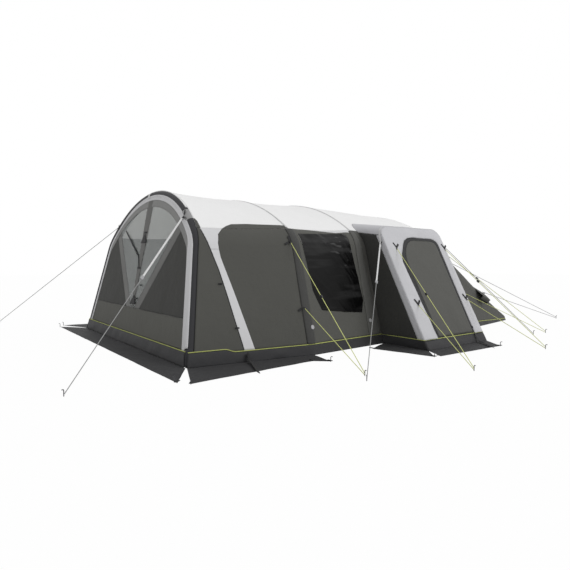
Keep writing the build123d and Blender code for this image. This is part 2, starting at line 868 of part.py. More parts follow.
guy_sets = {
    "front_lines": [("far_front", "far_front", single_height), ("near_front", "near_front", single_height)],
    "side_lines": [("second_upper", "side", upper_height), ("second_lower", "side", lower_height)],
    "porch_corner_lines": [
        ("porch_left_corner", "porch_strap", single_height),
        ("porch_right_corner", "porch_corner", single_height),
    ],
    "porch_left_lines": [
        ("porch_left_upper", "porch_left", upper_height), ("porch_left_lower", "porch_left", lower_height),
    ],
    "porch_right_lines": [
        ("porch_right_upper", "porch_right", upper_height), ("porch_right_lower", "porch_right", lower_height),
    ],
    "rear_lines": [("rear_shoulder", "rear", upper_height), ("rear_lower", "rear", lower_height)],
    "tail_lines": [("rear_upper", "tail", upper_height), ("tail_hood", "tail", lower_height)],
}


def line_ends(point, peg, end_height):
    """Centre of a patch's loop, the way its line runs, and the line's two ends."""
    place, out = guy_points[point]
    knot = place + out * (rest_gap + patch_thickness + knot_lift)
    ground = Vector(*guy_pegs[peg], end_height)
    level = Vector(knot.X - ground.X, knot.Y - ground.Y, 0).normalized()
    steepness = (knot - ground).normalized().Z
    end = ground + level * (peg_radius + rest_gap + line_radius * steepness)
    run = (end - knot).normalized()
    return knot, run, knot + run * (loop_length + rest_gap), end


lines = {}
for members in guy_sets.values():
    for point, peg, end_height in members:
        lines[point] = line_ends(point, peg, end_height)


def guy_patch(point):
    """A sewn plate with a knot on it and the stiff loop that takes the line."""
    place, out = guy_points[point]
    knot, run, start, end = lines[point]
    with BuildPart() as patch:
        with BuildSketch(Plane(place + out * rest_gap, z_dir=out)):
            Rectangle(*patch_size)
        extrude(amount=patch_thickness)
        with BuildSketch(Plane(place + out * rest_gap, z_dir=out)):
            Circle(post_radius)
        extrude(amount=patch_thickness + post_height)
        with BuildSketch(Plane(knot, z_dir=run)):
            Circle(loop_radius)
        extrude(amount=loop_length)
    return patch


with BuildPart() as guy_patches:
    for point in lines:
        add(guy_patch(point).part)
keep(guy_patches, "guy_patches")

# Guy lines: plain cords, except two that are wide webbing down to a buckle
strap_shares = {"near_front": 0.42, "porch_left_corner": 0.36}
buckle_length, buckle_width, buckle_depth = 46.0, 36.0, 12.0


def cord(start, end):
    with BuildPart() as piece:
        with BuildSketch(Plane(start, z_dir=end - start)):
            Circle(line_radius)
        extrude(amount=(end - start).length)
    return piece


def strap(start, end):
    with BuildPart() as piece:
        with BuildSketch(Plane(start, x_dir=(1, 0, 0), z_dir=end - start)):
            Rectangle(strap_width, strap_thickness)
        extrude(amount=(end - start).length)
    return piece


def buckle_ends(point):
    """Where the webbing stops above a buckle, and where the cord goes on below it."""
    knot, run, start, end = lines[point]
    middle = start + (end - start) * strap_shares[point]
    reach = run * (buckle_length / 2)
    return middle - reach, middle + reach


for set_name, members in guy_sets.items():
    with BuildPart() as line_set:
        for point, peg, end_height in members:
            knot, run, start, end = lines[point]
            if point in strap_shares:
                above, below = buckle_ends(point)
                add(strap(start, above - run * rest_gap).part)
                add(cord(below + run * rest_gap, end).part)
            else:
                add(cord(start, end).part)
            print(point, "line", round((end - start).length), "mm from", start, "to", end)
    keep(line_set, set_name)

with BuildPart() as buckles:
    for point in strap_shares:
        above, below = buckle_ends(point)
        with BuildSketch(Plane(above, x_dir=(1, 0, 0), z_dir=below - above)):
            RectangleRounded(buckle_width, buckle_depth, buckle_depth / 3)
        extrude(amount=buckle_length)
keep(buckles, "buckles")

# Sliding tensioners on the upper cords
tensioner_size, tensioner_length = (16.0, 28.0), 40.0
tensioner_shares = {
    "side_tensioner": ("second_upper", 0.47),
    "porch_left_tensioner": ("porch_left_upper", 0.45),
    "porch_right_tensioner": ("porch_right_upper", 0.36),
    "rear_tensioner": ("rear_shoulder", 0.38),
}
for name, (point, share) in tensioner_shares.items():
    knot, run, start, end = lines[point]
    middle = start + (end - start) * share
    with BuildPart() as tensioner:
        with BuildSketch(Plane(middle, x_dir=(1, 0, 0), z_dir=run)):
            RectangleRounded(*tensioner_size, tensioner_size[0] / 4)
            Circle(line_radius + rest_gap, mode=Mode.SUBTRACT)
        extrude(amount=tensioner_length / 2, both=True)
    keep(tensioner, name)
    print(name, "slides along", run)

# Pegs: bent rod, at each guy line's end and outside the skirts' corners
skirt_pegs = [
    ((gable_skirt_corner[0], -gable_skirt_corner[1]), (-1, -1)),
    (gable_skirt_corner, (-1, 1)),
    (skirt_nose, (-1, -1)),
    ((skirt_nose[0], -skirt_nose[1]), (-1, 1)),
    (skirt_tip, (0.3, -1)),
    ((skirt_tip[0], -skirt_tip[1]), (0.3, 1)),
    (porch_skirt_tip, (-0.6, -1)),
    (porch_skirt_right, (0.6, -1)),
]


def peg_rod(x, y, away):
    """A peg's part above ground: an upright rod with its head bent over, away from the line."""
    bent = peg_bend * (1 - cos(radians(45)))
    with BuildPart() as rod:
        with BuildLine(Plane((x, y, 0), x_dir=away, z_dir=away.cross(Vector(0, 0, 1)))) as path:
            Line((0, 0), (0, peg_height - peg_bend))
            ThreePointArc(
                (0, peg_height - peg_bend), (bent, peg_height - bent), (peg_bend, peg_height)
            )
            Line((peg_bend, peg_height), (peg_arm, peg_height))
        with BuildSketch(Plane.XY):
            with Locations((x, y)):
                Circle(peg_radius)
        sweep(path=path.wires()[0])
    return rod


with BuildPart() as pegs:
    for peg, (x, y) in guy_pegs.items():
        point = next(point for members in guy_sets.values() for point, name, _ in members if name == peg)
        run = lines[point][1]
        add(peg_rod(x, y, Vector(run.X, run.Y, 0).normalized()).part)
    for (x, y), away in skirt_pegs:
        outward = Vector(*away, 0).normalized()
        stand = Vector(x, y, 0) + outward * (peg_radius + rest_gap)
        add(peg_rod(stand.X, stand.Y, outward).part)
keep(pegs, "pegs")

# Zip sliders: one on the gable's middle zip, one beside the porch door
slider_size, slider_depth = (14.0, 30.0), 6.0
gable_slider_level = 640.0
door_slider_lift = 60.0
with BuildPart() as gable_zip_slider:
    with BuildSketch(front.plane(gable_ahead).offset(-rest_gap)):
        with Locations((0, gable_slider_level)):
            RectangleRounded(*slider_size, slider_size[0] / 3)
    extrude(amount=-slider_depth)
keep(gable_zip_slider, "gable_zip_slider")

with BuildPart() as door_zip_slider:
    with BuildSketch(porch_front.offset(rest_gap)):
        beside = door_right - porch_middle + slider_size[0]
        with Locations((beside, (door_low + door_slider_lift) * slant)):
            RectangleRounded(*slider_size, slider_size[0] / 3)
    extrude(amount=slider_depth)
keep(door_zip_slider, "door_zip_slider")

door_hinge = porch_front.from_local_coords((door_left - porch_middle, door_low * slant, 0))
print("door hinge", door_hinge, "axis", porch_front.y_dir * -1)
print("gable zip runs along", front.plane().y_dir)
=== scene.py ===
from math import cos, hypot, pi, radians, sin

import bmesh
import bpy
import numpy as np
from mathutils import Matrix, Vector


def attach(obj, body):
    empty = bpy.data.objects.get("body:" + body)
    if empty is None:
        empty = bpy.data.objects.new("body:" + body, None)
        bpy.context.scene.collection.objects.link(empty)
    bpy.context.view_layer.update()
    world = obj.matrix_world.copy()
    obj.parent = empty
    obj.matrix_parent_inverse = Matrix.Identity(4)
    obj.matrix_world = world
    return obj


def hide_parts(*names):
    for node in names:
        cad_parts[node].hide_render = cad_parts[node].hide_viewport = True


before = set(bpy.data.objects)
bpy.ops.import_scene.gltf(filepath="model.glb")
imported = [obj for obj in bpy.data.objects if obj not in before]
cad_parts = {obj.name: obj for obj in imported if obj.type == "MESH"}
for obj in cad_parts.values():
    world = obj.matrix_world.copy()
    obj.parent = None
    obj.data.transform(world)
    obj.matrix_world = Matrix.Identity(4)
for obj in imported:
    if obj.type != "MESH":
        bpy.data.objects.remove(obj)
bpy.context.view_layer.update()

# The studio: a pale floor that keeps the tent's shadow, a white surround, soft sky light and
# one broad lamp on the porch side. The camera stands where the photograph was taken.
scene = bpy.context.scene
scene.view_settings.view_transform = "Standard"


def wire(tree, kind, sockets=None, **settings):
    """A new node: its settings made, and each named socket given a value or linked to another node's socket."""
    node = tree.nodes.new(kind)
    for name, value in settings.items():
        setattr(node, name, value)
    for name, value in (sockets or {}).items():
        if isinstance(value, bpy.types.NodeSocket):
            tree.links.new(value, node.inputs[name])
        else:
            node.inputs[name].default_value = value
    return node


def bare_material(name):
    """A new material and its node tree, emptied."""
    material = bpy.data.materials.new(name)
    material.use_nodes = True
    material.node_tree.nodes.clear()
    return material, material.node_tree


def coat(tree, sockets):
    """A material's surface shader, with its sockets given or linked, joined to the output."""
    skin = wire(tree, "ShaderNodeBsdfPrincipled", sockets)
    wire(tree, "ShaderNodeOutputMaterial", {"Surface": skin.outputs[0]})


def seen_directly(tree):
    """A socket that is 1 for what the camera, a mirror or a pane looks at."""
    path = wire(tree, "ShaderNodeLightPath")
    total = path.outputs["Is Camera Ray"]
    for ray in ("Is Glossy Ray", "Is Transmission Ray"):
        total = wire(tree, "ShaderNodeMath", {0: total, 1: path.outputs[ray]}, operation="MAXIMUM").outputs[0]
    return total


floor_half, floor_drop, floor_glow = 40.0, 0.003, 0.97
floor_grey, white = (0.80, 0.80, 0.80, 1), (1, 1, 1, 1)
floor_mesh = bpy.data.meshes.new("studio_floor")
floor_mesh.from_pydata(
    [(x * floor_half, y * floor_half, -floor_drop) for x, y in ((-1, -1), (1, -1), (1, 1), (-1, 1))],
    [], [(0, 1, 2, 3)],
)
studio_floor = bpy.data.objects.new("studio_floor", floor_mesh)
scene.collection.objects.link(studio_floor)
floor_paint, tree = bare_material("studio_floor")
shaded, lit = wire(tree, "ShaderNodeBsdfDiffuse", {"Color": floor_grey}), wire(tree, "ShaderNodeEmission")
share = wire(tree, "ShaderNodeMath", {0: seen_directly(tree), 1: floor_glow}, operation="MULTIPLY")
mix = wire(tree, "ShaderNodeMixShader", {0: share.outputs[0], 1: shaded.outputs[0], 2: lit.outputs[0]})
wire(tree, "ShaderNodeOutputMaterial", {"Surface": mix.outputs[0]})
floor_mesh.materials.append(floor_paint)

sky_strength = 0.68
surround = bpy.data.worlds.new("surround")
scene.world = surround
surround.use_nodes = True
tree = surround.node_tree
tree.nodes.clear()
dim, bright = (
    wire(tree, "ShaderNodeBackground", {"Color": white, "Strength": strength}) for strength in (sky_strength, 1.0)
)
mix = wire(tree, "ShaderNodeMixShader", {0: seen_directly(tree), 1: dim.outputs[0], 2: bright.outputs[0]})
wire(tree, "ShaderNodeOutputWorld", {"Surface": mix.outputs[0]})

lamp_from = Vector((0.45, -0.75, 0.75))
lamp_strength, lamp_spread = 1.15, radians(35)
lamp_data = bpy.data.lights.new("broad_lamp", "SUN")
lamp_data.energy = lamp_strength
lamp_data.angle = lamp_spread
lamp = bpy.data.objects.new("broad_lamp", lamp_data)
lamp.rotation_euler = lamp_from.to_track_quat("Z", "Y").to_euler()
scene.collection.objects.link(lamp)

camera_place = (-5.481, -6.649, 1.135)
camera_turn, camera_drop = 36.68, 2.74
camera_lens, camera_sensor = 30.4, 36.0
camera_data = bpy.data.cameras.new("camera")
camera_data.lens, camera_data.sensor_width = camera_lens, camera_sensor
camera = bpy.data.objects.new("camera", camera_data)
camera.location = camera_place
camera.rotation_euler = (radians(90 - camera_drop), 0, radians(-camera_turn))
scene.collection.objects.link(camera)
scene.camera = camera

# Floor: one sheet of coated cloth, cut to the feet of the arches and sewn to the mud walls all
# round. It lies flat on the ground.
leg_lean = radians(15)
leg_end, shoulder_end = 0.30, 0.40


def arch(x, half, height, turn=56, shoulder=0.45, lean=0.0):
    return {"x": x, "half": half, "height": height, "turn": radians(turn), "shoulder": shoulder, "lean": lean}


front = arch(-3.30, 1.985, 2.13, turn=46, lean=0.20)
second = arch(-1.73, 2.20, 2.08)
third = arch(-0.55, 2.13, 2.08)
rear = arch(1.38, 2.08, 2.00)
tail = arch(3.56, 1.72, 0.16, turn=86, shoulder=0.06)


def run_lengths(points, axis):
    """Distance run along a grid's rows or columns, in metres."""
    steps = np.linalg.norm(np.diff(points, axis=axis), axis=-1)
    return np.insert(np.cumsum(steps, axis=axis), 0, 0, axis=axis)


def lay_weave(mesh, weave):
    """A mesh's UV map in metres, from a place in the weave for each of its points."""
    corners = np.zeros(len(mesh.loops), int)
    mesh.loops.foreach_get("vertex_index", corners)
    mesh.uv_layers.new(name="weave").data.foreach_set("uv", weave.reshape(-1, 2)[corners].ravel())


def grid_mesh(name, points, weave=None):
    """A sheet of quads over a grid of points, with a UV map in metres along the weave."""
    rows, columns = points.shape[:2]
    mesh = bpy.data.meshes.new(name)
    index = np.arange(rows * columns).reshape(rows, columns)
    quads = np.stack([index[:-1, :-1], index[1:, :-1], index[1:, 1:], index[:-1, 1:]], -1).reshape(-1, 4)
    mesh.from_pydata(points.reshape(-1, 3).tolist(), [], quads.tolist())
    if weave is None:
        weave = np.stack([run_lengths(points, 0), run_lengths(points, 1)], -1)
    lay_weave(mesh, weave)
    mesh.polygons.foreach_set("use_smooth", [True] * len(mesh.polygons))
    return mesh


def piece_from(mesh, *materials):
    piece = bpy.data.objects.new(mesh.name, mesh)
    scene.collection.objects.link(piece)
    for material in materials:
        mesh.materials.append(material)
    return piece


def cloth_group():
    """Woven cloth: crossed threads, soft mottling and faint creases, from a UV map in metres."""
    broad_scale, fine_scale, crease_scale = 1.6, 38.0, 7.0
    broad_shade, fine_shade, thread_shade = 1.4, 0.6, 0.025
    crease_height, thread_height = 0.012, 0.00012
    tree = bpy.data.node_groups.new("woven_cloth", "ShaderNodeTree")
    add = tree.interface.new_socket
    add("Weave", in_out="INPUT", socket_type="NodeSocketVector")
    add("Color", in_out="INPUT", socket_type="NodeSocketColor")
    for name, value in (("Thread", 0.0016), ("Mottle", 0.08), ("Crease", 1.0)):
        add(name, in_out="INPUT", socket_type="NodeSocketFloat").default_value = value
    add("Color", in_out="OUTPUT", socket_type="NodeSocketColor")
    add("Height", in_out="OUTPUT", socket_type="NodeSocketFloat")
    given = wire(tree, "NodeGroupInput").outputs

    def maths(kind, a, b=0.0):
        return wire(tree, "ShaderNodeMath", {0: a, 1: b}, operation=kind).outputs[0]

    def cloud(scale, detail):
        noise = wire(tree, "ShaderNodeTexNoise", {"Vector": given["Weave"], "Scale": scale, "Detail": detail})
        return maths("SUBTRACT", noise.outputs[0], 0.5)

    parts = wire(tree, "ShaderNodeSeparateXYZ", {0: given["Weave"]}).outputs
    turns = maths("DIVIDE", 2 * pi, given["Thread"])
    warp, weft = (maths("SINE", maths("MULTIPLY", parts[axis], turns)) for axis in "XY")
    threads = maths("MULTIPLY", warp, weft)
    broad, fine = cloud(broad_scale, 3.0), cloud(fine_scale, 2.0)
    shade = maths("ADD", maths("MULTIPLY", broad, broad_shade), maths("MULTIPLY", fine, fine_shade))
    shade = maths("ADD", maths("MULTIPLY", shade, given["Mottle"]), 1.0)
    shade = maths("ADD", shade, maths("MULTIPLY", threads, thread_shade))
    tint = wire(tree, "ShaderNodeMix", {"Factor": 1.0, "A": given["Color"], "B": shade},
                data_type="RGBA", blend_type="MULTIPLY")
    crease = maths("MULTIPLY", cloud(crease_scale, 3.0), maths("MULTIPLY", given["Crease"], crease_height))
    height = maths("ADD", crease, maths("MULTIPLY", threads, thread_height))
    wire(tree, "NodeGroupOutput", {"Color": tint.outputs["Result"], "Height": height})
    return tree


woven = cloth_group()


def cloth(name, colour, rough=0.8, mottle=0.08, crease=1.0, thread=0.0016, sheen=0.05, glow=0.0):
    """A finished cloth: the shared weave in a colour, with its own roughness and sheen, and a painted glow (emission
    in its own colour) where glow is given.
    """
    material, tree = bare_material(name)
    weave = wire(tree, "ShaderNodeUVMap", uv_map="weave")
    made = wire(tree, "ShaderNodeGroup", {
        "Weave": weave.outputs[0], "Color": (*colour, 1), "Thread": thread, "Mottle": mottle, "Crease": crease,
    }, node_tree=woven).outputs
    bump = wire(tree, "ShaderNodeBump", {"Strength": 0.6, "Distance": 1.0, "Height": made["Height"]})
    # Painted glow: where glow is given, the cloth emits its own colour, standing in for light.
    painted_daylight_glow = {"Emission Color": made["Color"], "Emission Strength": glow} if glow else {}
    coat(tree, {
        "Base Color": made["Color"], "Normal": bump.outputs[0], "Roughness": rough, "Specular IOR Level": 0.25,
        "Sheen Weight": sheen, "Sheen Roughness": 0.5, **painted_daylight_glow,
    })
    return material


cloth_thickness = 0.0018


def cut_sizes(mesh):
    """The width and length of the cloth a sheet was cut from, along its weave, and the cut's area."""
    weave = np.zeros(2 * len(mesh.loops))
    mesh.uv_layers["weave"].data.foreach_get("uv", weave)
    weave = weave.reshape(-1, 2)
    boxes = []
    for turn in np.radians(np.arange(0, 90, 5)):
        across = weave @ np.array([[cos(turn), -sin(turn)], [sin(turn), cos(turn)]])
        boxes.append(np.ptp(across, axis=0).tolist())
    width, length = min(boxes, key=lambda box: box[0] * box[1])
    return (width, length), min(sum(face.area for face in mesh.polygons), width * length)


def sew(mesh, materials, replaces, body="tent", thickness=cloth_thickness):
    """A sheet of cloth made a piece: given its thickness and set on its body."""
    piece = piece_from(mesh, *materials)
    backing = piece.modifiers.new("cloth", "SOLIDIFY")
    backing.thickness, backing.offset = thickness, -1.0
    backing.material_offset = len(materials) - 1
    flat, area = cut_sizes(mesh)
    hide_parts(*replaces)
    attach(piece, body)
    return piece


def lumps(a, b, seed):
    """Smooth random heights from about -1 to 1 over a plane, with one lump to a unit."""
    table = np.random.default_rng(seed).uniform(-1, 1, (64, 64))
    a0, b0 = np.floor(a).astype(int), np.floor(b).astype(int)
    fa, fb = a - a0, b - b0
    fa, fb = fa * fa * (3 - 2 * fa), fb * fb * (3 - 2 * fb)
    here = table[a0 % 64, b0 % 64] * (1 - fb) + table[a0 % 64, (b0 + 1) % 64] * fb
    beyond = table[(a0 + 1) % 64, b0 % 64] * (1 - fb) + table[(a0 + 1) % 64, (b0 + 1) % 64] * fb
    return here * (1 - fa) + beyond * fa


def spread(corners, count):
    """Evenly spaced points along a line of corners."""
    corners = np.asarray(corners, float)
    run = run_lengths(corners[:, None], 0)[:, 0]
    at = np.linspace(0, run[-1], count)
    return np.stack([np.interp(at, run, corners[:, axis]) for axis in range(3)], -1)


def ruled(low, high, columns):
    """A grid of straight lines from each point of one line to the same point of another."""
    share = np.linspace(0, 1, columns)[None, :, None]
    return np.asarray(low)[:, None] * (1 - share) + np.asarray(high)[:, None] * share


ground_colour = (0.027, 0.027, 0.029)
ground_cloth = cloth("ground_cloth", ground_colour, rough=0.62, mottle=0.10, crease=0.8, thread=0.0022)
floor_room, floor_top = 0.0045, 0.002
floor_stations = [
    (-3.282, 1.9866), (second["x"], second["half"]), (third["x"], third["half"]),
    (rear["x"], rear["half"]), (3.554, 1.721),
]
low_edge = spread([(x, -half + floor_room, floor_top) for x, half in floor_stations], 120)
high_edge = low_edge * (1, -1, 1)
points = ruled(low_edge, high_edge, 70)
sew(grid_mesh("floor_cloth", points), (ground_cloth,), ["floor"])

# Mud walls: upright bands of the floor's coated cloth, with the walls sewn to their tops. The
# bands of the front bay step up ahead of the braces.
mud_top, mud_step_top, gable_mud_top, tail_mud = 0.1255, 0.160, 0.1637, 0.031
step_start, step_end = 0.27, 0.36
mud_bulge, tail_bulge, mud_cell, ground_clear = 0.010, 0.2, 0.16, 0.002
porch_left, porch_right, porch_foot, porch_lean = -0.40, 0.94, -2.88, 0.535
tent_length = rear["x"] - third["x"]
left_share, right_share = (porch_left - third["x"]) / tent_length, (porch_right - third["x"]) / tent_length


def arch_shape(arch, inset=0.0):
    """The lengths that fix an arch's outline: foot, leg top, shoulder radius, crown radius and top."""
    turn = arch["turn"]
    foot = arch["half"] - inset / cos(leg_lean)
    top = arch["height"] * hypot(1, arch["lean"]) - inset
    radius = arch["shoulder"] - inset
    width = foot - radius * (cos(leg_lean) - cos(turn))
    climb = top - radius * (sin(turn) - sin(leg_lean))
    leg = (width * (1 - sin(turn)) - climb * cos(turn)) / (
        sin(leg_lean) * (1 - sin(turn)) - cos(leg_lean) * cos(turn)
    )
    leg_y, leg_z = foot - leg * sin(leg_lean), leg * cos(leg_lean)
    crown = (leg_y - radius * (cos(leg_lean) - cos(turn))) / cos(turn)
    return foot, leg_y, leg_z, radius, crown, top


def arch_flat(arch, v, inset=0.0):
    """Points of an arch in its own plane. v is 0 at the near foot, 0.5 at the crown, 1 at the far foot."""
    foot, leg_y, leg_z, radius, crown, top = arch_shape(arch, inset)
    turn = arch["turn"]
    v = np.asarray(v, float)
    side = np.where(v < 0.5, -1.0, 1.0)
    w = np.minimum(v, 1 - v)
    up_leg = w / leg_end
    bend = leg_lean + (w - leg_end) / (shoulder_end - leg_end) * (turn - leg_lean)
    over = turn + (w - shoulder_end) / (0.5 - shoulder_end) * (pi / 2 - turn)
    parts = [w <= leg_end, w <= shoulder_end]
    on_leg = foot + (leg_y - foot) * up_leg, leg_z * up_leg
    on_bend = leg_y - radius * (cos(leg_lean) - np.cos(bend)), leg_z + radius * (np.sin(bend) - sin(leg_lean))
    on_crown = crown * np.cos(over), top - crown + crown * np.sin(over)
    y, z = (np.select(parts, pair[:2], pair[2]) for pair in zip(on_leg, on_bend, on_crown))
    return side * y, z


def in_arch_plane(arch, y, z, ahead=0.0):
    """Points of an arch's leaning plane, moved along the tent if asked."""
    rise = hypot(1, arch["lean"])
    return np.stack([arch["x"] + ahead + z * arch["lean"] / rise, y + 0 * z, z / rise], -1)


def arch_line(arch, v, inset=0.0, ahead=0.0):
    y, z = arch_flat(arch, v, inset)
    return in_arch_plane(arch, y, z, ahead)


def leg_share(arch, height):
    """v of the point at a height on an arch's near leg."""
    return leg_end * height * hypot(1, arch["lean"]) / arch_shape(arch)[2]


def wall_line(first, last, shares, height, last_height=None):
    """Points along a bay's near wall, at a height at each share of the way between its arches."""
    shares = np.asarray(shares, float)[:, None]
    height = np.broadcast_to(height, shares.shape[:1])
    last_height = height if last_height is None else np.broadcast_to(last_height, shares.shape[:1])
    start, end = arch_line(first, leg_share(first, height)), arch_line(last, leg_share(last, last_height))
    return start * (1 - shares) + end * shares


def unit(vectors):
    """Vectors brought to a length of 1."""
    return vectors / np.maximum(np.linalg.norm(vectors, axis=-1, keepdims=True), 1e-9)


def facing(points):
    """Outward directions over a grid of points."""
    return unit(np.cross(np.gradient(points, axis=0), np.gradient(points, axis=1)))


def mirrored(points):
    """A grid's or a line's image on the far side, still facing outwards."""
    return points[::-1] * np.array((1, -1, 1))


step_shares = np.linspace(0, 1, 90)
step_blend = np.clip((step_shares - step_start) / (step_end - step_start), 0, 1)
step_blend = step_blend * step_blend * (3 - 2 * step_blend)
step_height = mud_step_top + (mud_top - mud_step_top) * step_blend


def front_runs(front_height, height):
    """Lines along the front and middle bays' near walls, at given heights."""
    return [
        wall_line(front, second, step_shares, front_height),
        wall_line(second, third, np.linspace(0, 1, 60)[1:], height),
    ]


def near_run(front_height, height):
    """A line along the near side from the front arch to the porch."""
    to_porch = wall_line(third, rear, np.linspace(0, left_share, 10)[1:], height)
    return np.concatenate([*front_runs(front_height, height), to_porch])


def rear_run(height, last_height):
    """A line along the near side from the porch to the tail."""
    return np.concatenate([
        wall_line(third, rear, np.linspace(right_share, 1, 24), height),
        wall_line(rear, tail, np.linspace(0, 1, 100)[1:], height, last_height),
    ])


def far_run(front_height, height, last_height):
    """A line along the whole of the far side."""
    return mirrored(np.concatenate([
        *front_runs(front_height, height),
        wall_line(third, rear, np.linspace(0, 1, 90)[1:], height),
        wall_line(rear, tail, np.linspace(0, 1, 100)[1:], height, last_height),
    ]))


def porch_run(height):
    """A line round the porch's foot, from the tent's wall on its left to the wall on its right."""
    left = wall_line(third, rear, [left_share], height)[0]
    right = wall_line(third, rear, [right_share], height)[0]
    ahead = porch_foot + porch_lean * height
    corners = [left, (porch_left, ahead, height), (porch_right, ahead, height), right]
    return np.concatenate([spread(corners[k:k + 2], 45)[(k > 0):] for k in range(3)])


def gable_run(height, inset=0.055, ahead=-0.008):
    """A line across the gable's foot, from the far side to the near side."""
    level = height * hypot(1, front["lean"])
    half = arch_shape(front, inset)[0] - level * sin(leg_lean) / cos(leg_lean)
    y = np.linspace(half, -half, 160)
    return in_arch_plane(front, y, np.full_like(y, level), ahead)


def tail_run(share):
    """A line across the tail's end, at a share of the height of its low arch."""
    y, z = arch_flat(tail, np.linspace(0, 1, 1200))
    across = np.linspace(-1.70, 1.70, 120)
    return np.stack([np.full(120, tail["x"] + 0.001), across, share * np.interp(across, y, z)], -1)


mud_runs = {
    "near_mud_wall": (near_run(0, 0), near_run(step_height, mud_top)),
    "rear_mud_wall": (rear_run(0, 0), rear_run(mud_top, tail_mud)),
    "far_mud_wall": (far_run(0, 0, 0), far_run(step_height, mud_top, tail_mud)),
    "porch_mud_wall": (porch_run(0), porch_run(mud_top)),
    "gable_mud_wall": (gable_run(0), gable_run(gable_mud_top)),
    "tail_mud_wall": (tail_run(0), tail_run(1)),
}
for seed, (name, (low, high)) in enumerate(mud_runs.items()):
    points = ruled(low, high, 9)
    share = np.linspace(0, 1, 9)[None, :]
    a, b = run_lengths(points, 0) / mud_cell, run_lengths(points, 1) / mud_cell
    depth = (0.4 + 0.6 * lumps(a, b, 40 + seed)) * mud_bulge * 4 * share * (1 - share)
    points = points + facing(points) * depth[..., None] * (tail_bulge if "tail" in name else 1)
    points[..., 2] = np.maximum(points[..., 2], ground_clear)
    sew(grid_mesh(name, points), (ground_cloth,), ["mud_walls"])

# Skirts: loose flaps of the same cloth, sewn to the foot of the mud walls and laid out on the
# ground, with a turned hem along their edges.
skirt_lift, skirt_ripple, ripple_length, ripple_width = 0.004, 0.012, 0.16, 0.30
hem_width, hem_lift = 0.014, 0.0012
skirt_cloth = cloth("skirt_cloth", (0.019, 0.019, 0.021), rough=0.7, mottle=0.10, crease=0.8, thread=0.0022)
hem_cloth = cloth("hem_cloth", (0.014, 0.014, 0.016), rough=0.6, mottle=0.08, thread=0.0022)
near_inner = [(-3.30, -1.987, 0), (-1.73, -2.202, 0)]
near_outer = [(-3.54, -2.58, 0), (-1.96, -2.46, 0), (-1.82, -2.60, 0)]
flip = np.array((1, -1, 1))
skirt_edges = {
    "near_skirt": (near_outer, near_inner),
    "far_skirt": ((np.array(near_outer) * flip)[::-1], (np.array(near_inner) * flip)[::-1]),
    "gable_skirt": ([(-3.63, 2.40, 0), (-3.63, -2.48, 0)], [(-3.306, 1.96, 0), (-3.306, -1.96, 0)]),
    "porch_left_skirt": ([(-0.84, -2.33, 0), (-0.64, -3.14, 0)], [(-0.402, -2.1335, 0), (-0.402, -2.878, 0)]),
    "porch_front_skirt": ([(-0.56, -3.17, 0), (0.70, -3.21, 0)], [(-0.40, -2.8805, 0), (0.94, -2.8805, 0)]),
}
for seed, (name, (outer, inner)) in enumerate(skirt_edges.items()):
    points = ruled(spread(outer, 110), spread(inner, 110), 20)
    a, b = run_lengths(points, 0), run_lengths(points, 1)
    share = np.linspace(0, 1, 20)[None, :]
    ripple = 0.5 + 0.5 * lumps(a / ripple_length, b / ripple_width, 60 + seed)
    rise = skirt_ripple * ripple * (1 - share) * np.sqrt(share + 0.05)
    points[..., 2] = ground_clear + skirt_lift * (0.3 + share) + rise
    sew(grid_mesh(name, points), (skirt_cloth,), ["skirts"])
    inward = unit(points[:, 1] - points[:, 0])
    hem = ruled(points[:, 0], points[:, 0] + inward * hem_width, 3) + (0, 0, hem_lift)
    sew(grid_mesh(name + "_hem", hem), (hem_cloth,), ["skirts"])

# Piping: a lime cord in a folded tape, sewn into the seam between each wall and its mud wall, round
# the tent and its porch.
piping_radius, piping_above = 0.0048, 0.0045
piping_height, piping_tail, piping_gable = 0.13, 0.0355, 0.1682
lime_colour = (0.46, 0.50, 0.15)


def swept(name, path, profile, across, sizes=1.0, smooth=True):
    """A closed solid: a flat outline carried along a line of points, with a UV map in metres."""
    path, profile = np.asarray(path, float), np.asarray(profile, float)
    along = unit(np.gradient(path, axis=0))
    across = np.array(across, float)
    rings = []
    for place, forward, size in zip(path, along, np.broadcast_to(sizes, len(path))):
        across = unit(across - forward * (across @ forward))
        up = np.cross(forward, across)
        rings.append(place + size * (profile[:, :1] * across + profile[:, 1:] * up))
    rings = np.array(rings)
    sides = len(profile)
    mesh = bpy.data.meshes.new(name)
    index = np.arange(len(path) * sides).reshape(-1, sides)
    over = np.roll(index, -1, axis=1)
    quads = np.stack([index[:-1], over[:-1], over[1:], index[1:]], -1).reshape(-1, 4).tolist()
    mesh.from_pydata(rings.reshape(-1, 3).tolist(), [], quads + [index[0, ::-1].tolist(), index[-1].tolist()])
    run = np.repeat(run_lengths(path[:, None], 0)[:, 0], sides)
    round_it = np.tile(run_lengths(np.insert(profile, 2, 0, axis=1)[:, None], 0)[:, 0], len(path))
    lay_weave(mesh, np.stack([run, round_it], -1))
    mesh.polygons.foreach_set("use_smooth", [smooth] * len(quads) + [False, False])
    return mesh


def tube_mesh(name, path, radius, sides=10):
    """A round tube along a line of points, closed at both ends."""
    turns = np.linspace(0, 2 * pi, sides, endpoint=False)
    return swept(name, path, np.stack([np.cos(turns), np.sin(turns)], -1) * radius, (0.31, 0.17, 0.93))


def trim(mesh, material, replaces=(), body="tent"):
    """A small firm piece, set on its body."""
    piece = piece_from(mesh, material)
    if replaces:
        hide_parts(*replaces)
    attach(piece, body)
    return piece


lime_trim = cloth("lime_trim", lime_colour, rough=0.6, mottle=0.05, crease=0.2)
piping_lines = {
    "near_piping": near_run(step_height + piping_above, piping_height),
    "rear_piping": rear_run(piping_height, piping_tail),
    "far_piping": far_run(step_height + piping_above, piping_height, piping_tail),
    "porch_piping": porch_run(piping_height),
    "gable_piping": gable_run(piping_gable),
}
for name, line in piping_lines.items():
    trim(tube_mesh(name, line, piping_radius, 8), lime_trim, ["piping"])

